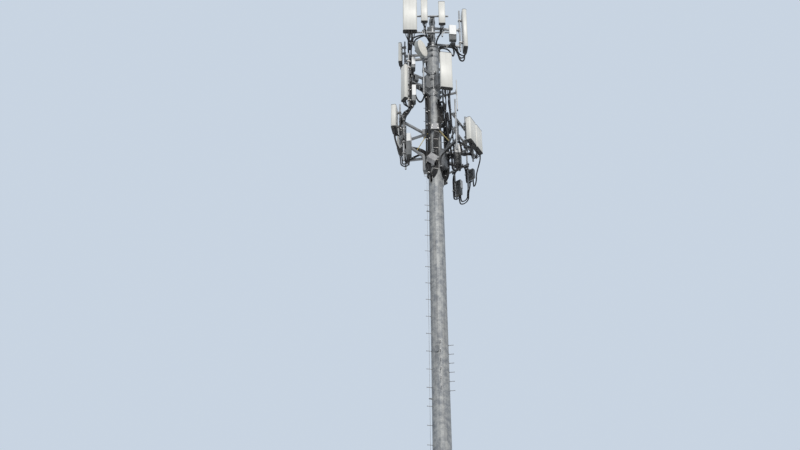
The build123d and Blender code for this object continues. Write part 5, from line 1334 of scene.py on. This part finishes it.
# Profiles of (radius, height): the boss behind the bowl, a bead from its foot, the cover
BOSS_TOP = DISH_HEAD + 0.026
BOSS = ((0.06, DISH_HEAD - 0.006), (0.06, DISH_HEAD + 0.022), (0.054, BOSS_TOP), (0, BOSS_TOP))
BEAD = ((-0.001, 0.0), (0.003, 0.003), (0.003, 0.009), (-0.001, 0.012))
COVER = (
    (0, -0.0002), (0.26, 0.0006), (DISH_RADIUS - 0.007, 0.002), (DISH_RADIUS - 0.001, 0.006),
    (DISH_RADIUS, DISH_COVER_THICK), (DISH_RADIUS - DISH_SKIN, DISH_COVER_THICK), (0, 0.006),
)
DISH_PAINT = weathered(
    "dish_shell", (3.0, 8.0, 240.0), ((0.42, 0.44, 0.43), (0.33, 0.35, 0.345)),
    (0.22, 0.21, 0.19), 0.35, (0.10, 0.0008), (0.40, 0.60), Metallic=0.2, Specular_IOR_Level=0.4,
)
# The cover's coated fabric: off-white, faintly woven, dust settled in soft clouds
DISH_CLOTH = weathered(
    "dish_cover", (5.0, 7.0, 180.0), ((0.93, 0.90, 0.81), (0.86, 0.83, 0.74)),
    (0.62, 0.60, 0.55), 0.25, None, Roughness=0.55, Sheen_Weight=0.1,
)
cloth = DISH_CLOTH.node_tree
threads = {"Vector": node(cloth, "ShaderNodeTexCoord").outputs["Object"], "Scale": 160.0, "Distortion": 0.3}
weave = node(cloth, "ShaderNodeTexWave", threads, bands_direction="DIAGONAL").outputs["Fac"]
bump(cloth, cloth.nodes["Principled BSDF"].inputs, weave, 0.08, 0.0005)


def bowl_line(radius, head):
    """The drum's side and the bowl's curve up to near its pole."""
    line = [(radius, DISH_COVER_THICK), (radius, DISH_DRUM)]
    for step in range(1, BOWL_STEPS):
        angle = pi / 2 * step / BOWL_STEPS
        line.append((radius * cos(angle), DISH_DRUM + (head - DISH_DRUM) * sin(angle)))
    return [*line, (0, head)]


dish_seat = Matrix.Translation(DISH_CENTRE) @ bearing_turn(DISH_TURN)
dish_axis = dish_seat @ Matrix.Rotation(-pi / 2, 4, "X")
bowl = bmesh.new()
turned(bowl, dish_axis, bowl_line(DISH_RADIUS, DISH_HEAD), DISH_SIDES)
turned(bowl, dish_axis, bowl_line(DISH_RADIUS - DISH_SKIN, DISH_HEAD - DISH_SKIN)[::-1], DISH_SIDES)
turned(bowl, dish_axis, BOSS, 32)
for z in BEAD_FEET:
    turned(bowl, dish_axis, [(DISH_RADIUS + out, z + rise) for out, rise in BEAD], DISH_SIDES, closed=True)
keep("dish_bowl", bowl, DISH_PAINT, ["dish_shell"])
disc_cover = bmesh.new()
turned(disc_cover, dish_axis, COVER, DISH_SIDES)
keep("dish_weather_cover", disc_cover, DISH_CLOTH, ["dish_cover"])
hoop_bolts = []
for i in range(HOOP_BOLTS):
    spin = Matrix.Rotation(2 * pi * i / HOOP_BOLTS, 4, "Z")
    hoop_bolts.append(moved(dish_axis @ spin, DISH_RADIUS, 0, HOOP_LINE) @ Matrix.Rotation(pi / 2, 4, "Y"))
grown("dish_hoop_bolts", BOLT_TREE, hoop_bolts, HOOP_BOLT, BOLT_STEEL)

# The whip: a slim glass-fibre rod clamped on its arm, with a dark moulded foot.
WHIP_ARM = (70.0, 0.889)
WHIP_RADIUS = 0.019
WHIP_LOW = 27.86
WHIP_SLEEVE = WHIP_LOW + 0.06
WHIP_TOP = 29.38
# Profiles of (radius, height)
WHIP_ROD = (
    (0, WHIP_SLEEVE), (WHIP_RADIUS, WHIP_SLEEVE), (WHIP_RADIUS, WHIP_TOP - 0.02),
    (WHIP_RADIUS * 0.8, WHIP_TOP - 0.005), (WHIP_RADIUS * 0.4, WHIP_TOP), (0, WHIP_TOP),
)
WHIP_FOOT = (
    (0, WHIP_LOW), (0.017, WHIP_LOW), (0.020, WHIP_LOW + 0.004), (0.023, WHIP_LOW + 0.02),
    (0.023, WHIP_LOW + 0.052), (0.019, WHIP_SLEEVE), (0, WHIP_SLEEVE),
)
WHIP_FIBRE = weathered(
    "whip_fibreglass", (4.0, 12.0, 300.0), ((0.68, 0.69, 0.69), (0.58, 0.59, 0.585)),
    (0.40, 0.39, 0.36), 0.4, (0.06, 0.0006), Roughness=0.4, Coat_Weight=0.1,
)
rod, foot = bmesh.new(), bmesh.new()
turned(rod, seat_at(*WHIP_ARM), WHIP_ROD)
keep("whip", rod, WHIP_FIBRE, ["whip_rod"])
turned(foot, seat_at(*WHIP_ARM), WHIP_FOOT)
keep("whip_foot", foot, CAP_PLASTIC, ["whip_tip"])

# Boxes: a sealed splitter under the left arm and a tall breakout box where the riser
# cables end, both with a lipped lid held by corner screws.
MID_ARM_TOP = 29.52
JUNCTION_SIZE = (0.230, 0.150, 0.280)
JUNCTION_SPOT = 0.780
BREAKOUT_SIZE = (0.230, 0.130, 0.430)
BREAKOUT_FOOT = 29.90
RISER_BEARING = 100.0
RISER_LINE = 0.345
BOX_CORNER = 0.018
BOX_EDGE = 0.004
LID_RIM = (0.012, 0.02)
LID_DEPTH = 0.01
SCREW_RIM = (0.025, 0.035)
BOX_SCREW = {"Across": 0.009, "Thick": 0.004, "Shank": 0.002}
boxes, box_screws = bmesh.new(), []
junction_foot = MID_ARM_TOP - ARM_HALF - SEAT_GAP - JUNCTION_SIZE[2]
for place, (width, depth, height) in (
    (seat_at(MID_LEFT[0], JUNCTION_SPOT, junction_foot), JUNCTION_SIZE),
    (seat_at(RISER_BEARING, RISER_LINE, BREAKOUT_FOOT), BREAKOUT_SIZE),
):
    levels = ((0, BOX_EDGE), (BOX_EDGE, 0.0), (height - BOX_EDGE, 0.0), (height, BOX_EDGE))
    lofted(boxes, moved(place, 0, depth / 2, 0), rounded(width, depth, BOX_CORNER, levels))
    rim, low = width / 2 - LID_RIM[0], LID_RIM[1]
    block(boxes, place, (-rim, -depth / 2, low), (rim, LID_DEPTH - depth / 2, height - low), 0.003)
    for side in (-1, 1):
        for z in (SCREW_RIM[1], height - SCREW_RIM[1]):
            box_screws.append(moved(place, side * (width / 2 - SCREW_RIM[0]), -depth / 2, z) @ FACE_OUT)
keep("splitter_boxes", boxes, RADIO_PAINT, ["junction_boxes"], 40)

# Riser cables come out of the right port in two rows, turn up side by side and are
# gripped by moulded hangers and steel bands all the way to the breakout box.
RISER_ACROSS = 0.028
RISER_PITCH = 0.031
RISER_COUNT = 5
RISER_SQUEEZE = 0.62
RISER_PORT = 24.86
RISER_TURN = 25.08
RISER_STRAIGHT = 0.25
RISER_ROW = 0.11
RISER_INSIDE = 0.19
RISER_SLOPE = 0.03
BAND_SPACE = 0.003
BAND_SKIN = 0.0016
BAND_HEIGHTS = (25.75, 26.02, 26.85, 27.10, 27.90, 28.85, 29.65)
HANGER_RUBBER = weathered(
    "hanger_rubber", (8.0, 14.0, 350.0), ((0.03, 0.03, 0.032), (0.07, 0.07, 0.07)),
    None, 0.0, (0.12, 0.0008), Roughness=0.6,
)
dress(HANGER_RUBBER, "cable_hangers")
riser_seat = bearing_turn(RISER_BEARING)
bundle = bmesh.new()
for i in range(RISER_COUNT):
    offset = (i - (RISER_COUNT - 1) / 2) * RISER_PITCH
    inner = offset * RISER_SQUEEZE
    drop = RISER_ROW if i % 2 == 0 else 0
    row = RISER_PORT - drop
    route = (
        (inner, -RISER_INSIDE, row - 2 * RISER_SLOPE),
        (inner, 2 * RISER_SLOPE - RISER_LINE, row - RISER_SLOPE),
        (offset, -RISER_LINE, RISER_TURN - drop),
        (offset, -RISER_LINE, RISER_TURN - drop + RISER_STRAIGHT),
        (offset, -RISER_LINE, BREAKOUT_FOOT),
    )
    line = new_lines(f"riser_{i}", RISER_ACROSS / 2, 10)
    draw_line(line, [riser_seat @ Vector(point) for point in route])
    bundle.from_mesh(plain_mesh(f"riser_{i}", line, CABLE_JACKET))
keep("riser_cable_bundle", bundle, CABLE_JACKET, ["riser_cables"])


def band_shape(tree, given):
    """A steel band round the cables: a flat ring stretched to the bundle's width."""
    ring = {"Width": given["Wide"], "Height": given["Deep"]}
    ring = node(tree, "GeometryNodeCurvePrimitiveQuadrilateral", ring).outputs[0]
    bend = {"Curve": ring, "Radius": times(tree, given["Deep"], 0.49), "Count": 6}
    ring = node(tree, "GeometryNodeFilletCurve", bend, mode="POLY").outputs[0]
    strip = {"Width": BAND_SKIN, "Height": given["Tall"]}
    strip = node(tree, "GeometryNodeCurvePrimitiveQuadrilateral", strip).outputs[0]
    return node(tree, "GeometryNodeCurveToMesh", {"Curve": ring, "Profile Curve": strip}).outputs[0]


RISER_BAND = {
    "Wide": (RISER_COUNT - 1) * RISER_PITCH + RISER_ACROSS + BAND_SPACE,
    "Deep": RISER_ACROSS + BAND_SPACE, "Tall": 0.012,
}
BAND_TREE = fitting_tree("cable_bands", RISER_BAND, band_shape)
band_places = [seat_at(RISER_BEARING, RISER_LINE, z) for z in BAND_HEIGHTS]
grown("cable_bands", BAND_TREE, band_places, RISER_BAND, HANGER_RUBBER)
grown("box_screws", BOLT_TREE, box_screws, BOX_SCREW, BOLT_STEEL)

# A small surge box on the side of the top pipe, with a raised lid.
SURGE_SIZE = (0.17, 0.09, 0.26)
SURGE_FOOT = 32.04
SURGE_BEARING = -58
SURGE_LID = 0.008
surge_seat = seat_at(SURGE_BEARING, TOP_PIPE_ACROSS / 2, SURGE_FOOT)
surge = bmesh.new()
half, deep, tall = SURGE_SIZE[0] / 2, *SURGE_SIZE[1:]
block(surge, surge_seat, (-half, -deep, 0), (half, 0, tall), 0.012)
rim, low = half - LID_RIM[0], LID_RIM[1]
block(surge, surge_seat, (-rim, -deep - SURGE_LID, low), (rim, 0.001 - deep, tall - low), 0.003)
keep("surge_box", surge, RADIO_PAINT)

# Feeder cables: each antenna and radio has its own. They turn down out of their sockets,
# draw together and run along pipes, arms and shaft to a port, held to the steel by bands.
FEEDER_ACROSS = 0.030
FEEDER_SLACK = 0.30
FLAT_PITCH = 1.08
ROUND_PITCH = 1.04
BUNDLE_ACROSS = 3.2
FLAT_DEEP = 1.15
SOCKET_DROP = 0.11
ALONG_SHAFT = 0.285
UNDER_ARM = 0.07
ARM_SPOTS = ((1.08, 0.42), (0.80, 0.27), (0.52, 0.13))
# A band sits where a route bends little, a pin where it also runs upright near the shaft.
STRAIGHT_ENOUGH = 0.93
PIN_REACH = 0.42
PIN_UPRIGHT = 0.7
PIN_RADIUS = 0.009
PIN_FOOT = 0.2
BAND_TALL = 0.016
wander = Random(11)
feeder_lines = new_lines("feeder_lines", 0.0, 5)
feeder_bands = {}
feeder_pins = bmesh.new()


def spot(bearing, line, z, t=0.0):
    """A spot at a distance from the shaft's axis, t along the face."""
    return bearing_turn(bearing) @ Vector((t, -line, z))


def down_shaft(bearing, line, *heights):
    """Spots up or down one bearing."""
    return [spot(bearing, line, z) for z in heights]


def beside(seat, x, y, *heights):
    """Spots up or down one side of an upright pipe."""
    return [seat @ Vector((x, y, z)) for z in heights]


def along_arm(bearing, side, z):
    """Spots under a spreading arm of the lower level, from its rail to its bracket."""
    return [spot(bearing, line, z - UNDER_ARM, side * t) for line, t in ARM_SPOTS]


def feet(seat, size, z, count):
    """The ends of the sockets under an antenna or a radio."""
    place = moved(seat, 0, -CLAMP_REACH, z - SOCKET_SIZE["Long"])
    return [item.to_translation() for item in socket_places(place, *size[:2], count)]


def packed(index, count, flat):
    """Where a cable lies in its bundle: side by side, or one in the middle and six round it."""
    if flat:
        return (index - (count - 1) / 2) * FLAT_PITCH, 0.0
    if index == 0:
        return 0.0, 0.0
    turn = 2 * pi * (index - 1) / 6
    return ROUND_PITCH * cos(turn), ROUND_PITCH * sin(turn)


def lay_cables(starts, steps, spare=0, flat=None):
    """Draw cables from their sockets into one bundle; a tuple in the steps goes to spot()."""
    route = []
    for step in steps:
        route += step if isinstance(step, list) else [spot(*step) if isinstance(step, tuple) else step]
    frames = []
    normal = flat or (route[1] - route[0]).orthogonal()
    for i, point in enumerate(route):
        ahead = (route[min(i + 1, len(route) - 1)] - route[max(i - 1, 0)]).normalized()
        across = Vector((point.x, point.y, 0)).normalized().cross(ahead)
        if flat and across.length > 0.5:
            normal = across
        normal = (normal - ahead * normal.dot(ahead)).normalized()
        frames.append((point, ahead, normal, ahead.cross(normal)))
    count = len(starts) + spare
    for index in range(count):
        line = []
        if index < len(starts):
            line = [starts[index], starts[index] + Vector((0, 0, -SOCKET_DROP))]
        for point, ahead, right, up in frames:
            x, y = packed(index, count, flat)
            x += wander.uniform(-FEEDER_SLACK, FEEDER_SLACK)
            y += wander.uniform(-FEEDER_SLACK, FEEDER_SLACK)
            line.append(point + (right * x + up * y) * FEEDER_ACROSS)
        draw_line(feeder_lines, line, FEEDER_ACROSS / 2)
    size = (count * FLAT_PITCH, FLAT_DEEP) if flat else (BUNDLE_ACROSS, BUNDLE_ACROSS)
    size = tuple(value * FEEDER_ACROSS for value in size)
    for (before, *_), (point, ahead, right, up), (after, *_) in zip(frames, frames[1:], frames[2:]):
        if (point - before).normalized().dot((after - point).normalized()) < STRAIGHT_ENOUGH:
            continue
        turn = Matrix((right, up, ahead)).transposed().to_4x4()
        feeder_bands.setdefault(size, []).append(Matrix.Translation(point) @ turn)
        out = Vector((point.x, point.y, 0))
        if out.length < PIN_REACH and abs(ahead.z) > PIN_UPRIGHT:
            inside = out.normalized() * PIN_FOOT
            inside.z = point.z
            tube(feeder_pins, bearing_turn(0), inside, point, PIN_RADIUS, 0.0, 6)


front_feet = feet(front_seat, TALL, 28.51, 6)
lay_cables(front_feet[:3], [
    Vector((0.43, -0.62, 28.05)), Vector((0.41, -0.40, 27.80)), Vector((0.40, -0.18, 27.50)),
    down_shaft(83, 0.365, 27.15, 26.60, 26.05, 25.50), (90, 0.34, 25.10), (97, 0.26, 24.92),
    (99, 0.19, 24.87),
])
lay_cables(front_feet[3:], [
    Vector((0.50, -0.62, 28.12)), Vector((0.56, -0.50, 27.75)), Vector((0.58, -0.39, 27.35)),
    Vector((0.57, -0.36, 27.00)), Vector((0.56, -0.22, 26.84)), Vector((0.55, -0.08, 27.00)),
    Vector((0.53, -0.07, 27.45)), Vector((0.51, -0.06, 27.94)), Vector((0.50, 0.07, 28.14)),
    Vector((0.48, 0.20, 27.94)), Vector((0.46, 0.22, 27.45)), down_shaft(106, 0.42, 26.80, 26.15, 25.50),
    (104, 0.32, 25.12), (101, 0.19, 24.86),
])
lay_cables(feet(back_seat, SLIM, 28.40, 4), [
    beside(back_seat, 0.0, -0.08, 28.08), (172, 0.66, 27.96), (150, 0.45, 27.92), (122, 0.42, 27.80),
    (98, 0.45, 27.55), down_shaft(86, 0.455, 27.10, 26.50, 25.95, 25.45), (92, 0.42, 25.05),
    (98, 0.27, 24.86), (100, 0.19, 24.82),
])
lay_cables([], [
    (40, 0.18, 28.42), (42, 0.29, 28.36), (50, 0.32, 28.15), (62, 0.33, 27.80), (66, 0.33, 27.45),
    (74, 0.40, 27.25), down_shaft(80, 0.46, 26.90, 26.40, 25.90, 25.40), (88, 0.42, 25.02),
    (97, 0.27, 24.82), (100, 0.19, 24.80),
], 7)
# A spare bundle of feeder cables. Where it crosses the front of the shaft to the left port, its dark jackets
# also stand in for a shadow that falls across the shaft there: painted shade.
lay_cables([], [
    (40, 0.18, 28.38), (40, 0.27, 28.28), down_shaft(44, ALONG_SHAFT, 27.98, 27.62), (34, ALONG_SHAFT, 27.28),
    (12, ALONG_SHAFT, 26.90), down_shaft(4, ALONG_SHAFT, 26.55, 26.15, 25.60), (0, 0.28, 25.22),
    (-16, 0.275, 24.98), (-33, 0.27, 24.91), (-39, 0.19, 24.87),
], 6, bearing_turn(40) @ Vector((1, 0, 0)))

left_shaft = down_shaft(-57, ALONG_SHAFT, 28.60, 27.90, 27.30, 26.60, 25.80, 25.25)
left_port = down_shaft(-50, 0.275, 25.03) + down_shaft(-42, 0.19, 24.88)


def left_run(x, y):
    """The run down the left of the shaft, shifted along and off the face, and on into its port."""
    shift = bearing_turn(-57) @ Vector((x, y, 0))
    return [point + shift for point in left_shaft[:-1]] + left_port


lay_cables(feet(left_seat, SLIM, 28.10, 4), [
    beside(left_seat, 0.03, -0.10, 27.80), beside(left_seat, 0.07, 0.03, 27.74, 28.10, 28.60, 28.95),
    (-60, 0.90, 29.04), (-60, 0.65, 29.00), (-60, 0.42, 28.98), left_shaft, left_port,
])
lay_cables(feet(MID_RADIO_SEAT, SHORT_RADIO, 29.68, 4), [
    beside(left_seat, -0.07, 0.05, 29.42, 29.10), (-60, 0.88, 28.96), (-60, 0.64, 28.92),
    (-60, 0.44, 28.88), left_run(0, -0.06),
])
# Under the left frame's arm and down to the left port, as three of the bundles go
left_arm_end = along_arm(-100, 1, 26.30) + [
    spot(-76, 0.31, 26.02), spot(-66, 0.345, 25.55), spot(-56, 0.31, 25.12), spot(-43, 0.19, 24.84),
]
lay_cables([], [
    (-60, JUNCTION_SPOT, junction_foot + 0.02), (-60, JUNCTION_SPOT, junction_foot - 0.10),
    beside(left_seat, 0.0, 0.16, 28.96), beside(left_seat, -0.10, 0.10, 28.70, 28.25, 27.85),
    Vector((-1.08, -0.58, 27.55)), beside(LEFT_RADIO_SEAT, -0.08, 0.10, 27.20, 26.75, 26.45),
    (-100, 0.96, 26.24, 0.52), left_arm_end,
], 4)
lay_cables([], [
    (-60, JUNCTION_SPOT - 0.04, junction_foot + 0.02), (-60, JUNCTION_SPOT - 0.05, junction_foot - 0.16),
    (-60, 0.80, 28.66), (-60, 0.72, 28.38), (-60, 0.60, 28.28), (-60, 0.49, 28.42),
    (-60, 0.42, 28.74), (-58, 0.35, 28.84), left_run(0.085, -0.01),
], 4)
lay_cables(feet(TOP_LEFT_SEAT, SMALL, 30.66, 4), [
    Vector((-1.08, -0.10, 30.36)), beside(left_seat, 0.0, 0.075, 30.15, 29.70, 28.80, 28.20, 27.80),
    Vector((-1.01, -0.52, 27.55)), beside(LEFT_RADIO_SEAT, 0.065, 0.0, 27.25, 26.80, 26.30, 25.85, 25.45),
    beside(LEFT_RADIO_SEAT, 0.05, -0.10, 25.26), beside(LEFT_RADIO_SEAT, -0.02, -0.17, 25.44),
])
lay_cables(feet(MID_RADIO_SEAT, LONG_RADIO, 28.04, 4), [
    beside(left_seat, -0.07, 0.05, 27.78, 27.60), Vector((-1.05, -0.60, 27.40)),
    beside(LEFT_RADIO_SEAT, -0.065, 0.0, 27.15, 26.70, 26.20), (-100, 0.98, 26.26, 0.62),
    along_arm(-100, 1, 26.35), (-74, 0.30, 26.10), (-63, 0.35, 25.60), (-54, 0.31, 25.12), (-43, 0.19, 24.86),
])
for seat, side, end in (
    (low_seats[2], 1, [(-76, 0.29, 26.12), (-62, 0.285, 25.62), (-52, 0.28, 25.10)]),
    (low_seats[3], -1, [(-126, 0.30, 26.12), (-126, 0.285, 25.60), (-112, 0.28, 25.14), (-78, 0.275, 24.97)]),
):
    lay_cables(feet(seat, SQUARE, 26.87, 4), [
        beside(seat, -0.065 * side, -0.04, 26.66), beside(seat, -0.065 * side, 0.04, 26.58, 26.46),
        along_arm(-100, side, 26.35), *end, (-41, 0.19, 24.85),
    ])
for seat, z, side, end in (
    (low_seats[0], 25.86, -1, [(41, 0.30, 25.80), (40, 0.285, 25.36), (58, 0.28, 25.12), (84, 0.28, 24.98)]),
    (low_seats[1], 25.88, 1, [(82, 0.37, 25.82), (88, 0.34, 25.40), (94, 0.32, 25.05)]),
):
    lay_cables(feet(seat, SQUARE, z, 4), [
        beside(seat, 0.065 * side, -0.06, 25.64), beside(seat, 0.065 * side, 0.05, 25.66, 25.84),
        along_arm(LOW_RIGHT[0], side, 26.0), *end, (99, 0.19, 24.86),
    ])
lay_cables(feet(RIGHT_RADIO_SEAT, SMALL_RADIO, 25.40, 4), [
    beside(RIGHT_RADIO_SEAT, 0.06, -0.06, 25.20), beside(RIGHT_RADIO_SEAT, 0.065, 0.03, 25.18, 25.50, 25.88),
    (LOW_RIGHT[0], 0.52, 25.86, 0.12), (83, 0.40, 25.62), (90, 0.36, 25.16), (98, 0.19, 24.88),
])
for seat, size, z, t in ((BACK_SEATS[0], GREY_BOX, 25.53, -0.50), (BACK_SEATS[1], LARGE_RADIO, 25.06, -0.30)):
    lay_cables(feet(seat, size, z, 4), [
        beside(seat, 0.04, -0.06, z - 0.24), beside(seat, 0.065, 0.03, z - 0.26, z + 0.10),
        beside(seat, 0.065, 0.05, 25.88), (LOW_BACK[0], 0.98, 25.90, t),
        along_arm(LOW_BACK[0], -0.85, 26.0)[1:],
        (120, 0.32, 25.80), (110, 0.31, 25.35), (104, 0.28, 25.03), (100, 0.19, 24.88),
    ])

broad_feet = feet(FRONT_SEATS[0], BROAD, 31.55, 6)
for starts, x, low in ((broad_feet[:3], -0.06, 30.72), (broad_feet[3:], 0.12, 30.98)):
    lay_cables(starts, [
        beside(FRONT_SEATS[0], x, -0.14, 31.10), beside(FRONT_SEATS[0], x + 0.03, -0.04, low),
        beside(FRONT_SEATS[0], x + 0.07, 0.05, low + 0.16, 31.38), (0, 0.29, 31.68, x - 0.48),
        (0, 0.29, 31.71, -0.26), (-40, 0.17, 31.58), (-62, 0.16, 31.40), (-84, 0.27, 31.28),
        (-118, 0.285, 31.05), down_shaft(-137, 0.27, 30.50, 29.90, 29.30, 28.75),
        (-140, 0.27, 28.48), (-140, 0.19, 28.38),
    ])
for x, y in ((-0.03, 0.105), (0.075, 0.095)):
    lay_cables([], [
        beside(FRONT_SEATS[0], x, -0.26, 31.56, 31.34), Vector((-0.86 + x, -0.56, 31.02)),
        Vector((-0.90 + x, -0.53 + y, 30.72)),
        beside(left_seat, x, y, 30.35, 29.85, 29.30, 28.75, 28.25, 27.85),
        Vector((-0.99 + x, -0.48 - y, 27.55)), beside(LEFT_RADIO_SEAT, x * 0.8, 0.10, 27.20, 26.75, 26.45),
        (-100, 0.96, 26.24, 0.60 + x), left_arm_end,
    ], 4)
for seat, z, side in ((FRONT_SEATS[1], 32.12, -1), (FRONT_SEATS[2], 32.00, 1)):
    lay_cables(feet(seat, NARROW, z, 3), [
        beside(seat, -0.06 * side, -0.07, z - 0.26), beside(seat, -0.065 * side, 0.02, 31.72),
        (0, 0.27, 31.66, side * 0.20), (side * 48, 0.155, 31.54), (72, 0.15, 31.36), (100, 0.27, 31.24),
        (109, 0.285, 31.00), (107, 0.29, 30.66), (101, 0.34, 30.36),
    ])
lay_cables([], [
    surge_seat @ Vector((0, -0.045, 0.02)), surge_seat @ Vector((0, -0.05, -0.12)), (-50, 0.165, 31.72),
    (-34, 0.155, 31.50), (-46, 0.165, 31.34), (-70, 0.24, 31.27), (-90, 0.28, 31.18),
    (-118, 0.290, 30.98), down_shaft(-137, 0.300, 30.40, 29.80, 29.20, 28.75),
    (-140, 0.27, 28.48), (-140, 0.19, 28.34),
], 6)
into_box = [spot(104, 0.29, 31.10), spot(106, 0.32, 30.70), spot(101, 0.36, 30.36)]
tall_feet = feet(TOP_RIGHT_SEAT, RIGHT_TALL, 31.33, 6)
for starts, x, low in ((tall_feet[:3], -0.07, 30.62), (tall_feet[3:], 0.06, 30.90)):
    lay_cables(starts, [
        beside(TOP_RIGHT_SEAT, x, -0.14, 31.05, low + 0.12), beside(TOP_RIGHT_SEAT, x, -0.04, low),
        beside(TOP_RIGHT_SEAT, x, 0.08, low + 0.10), beside(TOP_RIGHT_SEAT, x * 0.6, 0.14, 31.22),
        (95, 0.80, 31.41), (95, 0.55, 31.40), (95, 0.32, 31.40), (98, 0.22, 31.28), into_box,
    ])
lay_cables(feet(TOP_RADIO_SEAT, LONG_RADIO, 31.53, 4), [
    (95, 0.84, 31.10), (95, 0.78, 30.92), (95, 0.70, 31.08), (95, 0.60, 31.27), (95, 0.45, 31.33),
    (96, 0.31, 31.33), (100, 0.26, 31.22), into_box,
])

# More cables of the same kind are tied to each free one all along its route.
TIED_PLACES = ((1.08, 0.0, 0.0), (0.0, 1.08, 0.0), (0.55, 0.55, 0.95))
for name, (length, route) in CORDS.items():
    for place in TIED_PLACES:
        shift = Vector(place) * (TRUNK_ACROSS if name.startswith("trunk") else JUMPER_ACROSS)
        draw_line(feeder_lines, [Vector(point) + shift for point in route], JUMPER_ACROSS / 2)


def run_tree():
    """A tree that gives every line of a curve a round jacket of the line's own radius."""
    tree, given = new_tree("cable_runs", "Lines", "NodeSocketInt", {"Sides": 8})
    ring = {"Resolution": given["Sides"], "Radius": 1.0}
    ring = node(tree, "GeometryNodeCurvePrimitiveCircle", ring, mode="RADIUS").outputs["Curve"]
    radius = node(tree, "GeometryNodeInputRadius").outputs[0]
    sockets = {"Curve": given["Lines"], "Profile Curve": ring, "Scale": radius, "Fill Caps": True}
    return fitted(tree, given, node(tree, "GeometryNodeCurveToMesh", sockets).outputs[0])


mesh = plain_mesh("feeder_cables", feeder_lines, CABLE_JACKET, run_tree(), {"Sides": 8})
mesh.polygons.foreach_set("use_smooth", [True] * len(mesh.polygons))
seated("feeder_cables", mesh, ())
for index, ((wide, deep), places) in enumerate(feeder_bands.items()):
    band_steel = BOLT_STEEL if wide == deep else CLAMP_STEEL
    values = {"Wide": wide, "Deep": deep, "Tall": BAND_TALL}
    grown(f"feeder_bands_{index}", BAND_TREE, places, values, band_steel)
keep("feeder_pins", feeder_pins, CLAMP_STEEL)

# Tie rods run from the upper ring down to the arms of the lower frames. They have a
# yellowish chromate finish and a forged eye at each end.
TIE_STEEL = galvanised("tie_chromate", (0.66, 0.55, 0.22), (0.46, 0.36, 0.13), 0.25, 0.45, 140.0, 7.0)
dress(TIE_STEEL, "low_ties")
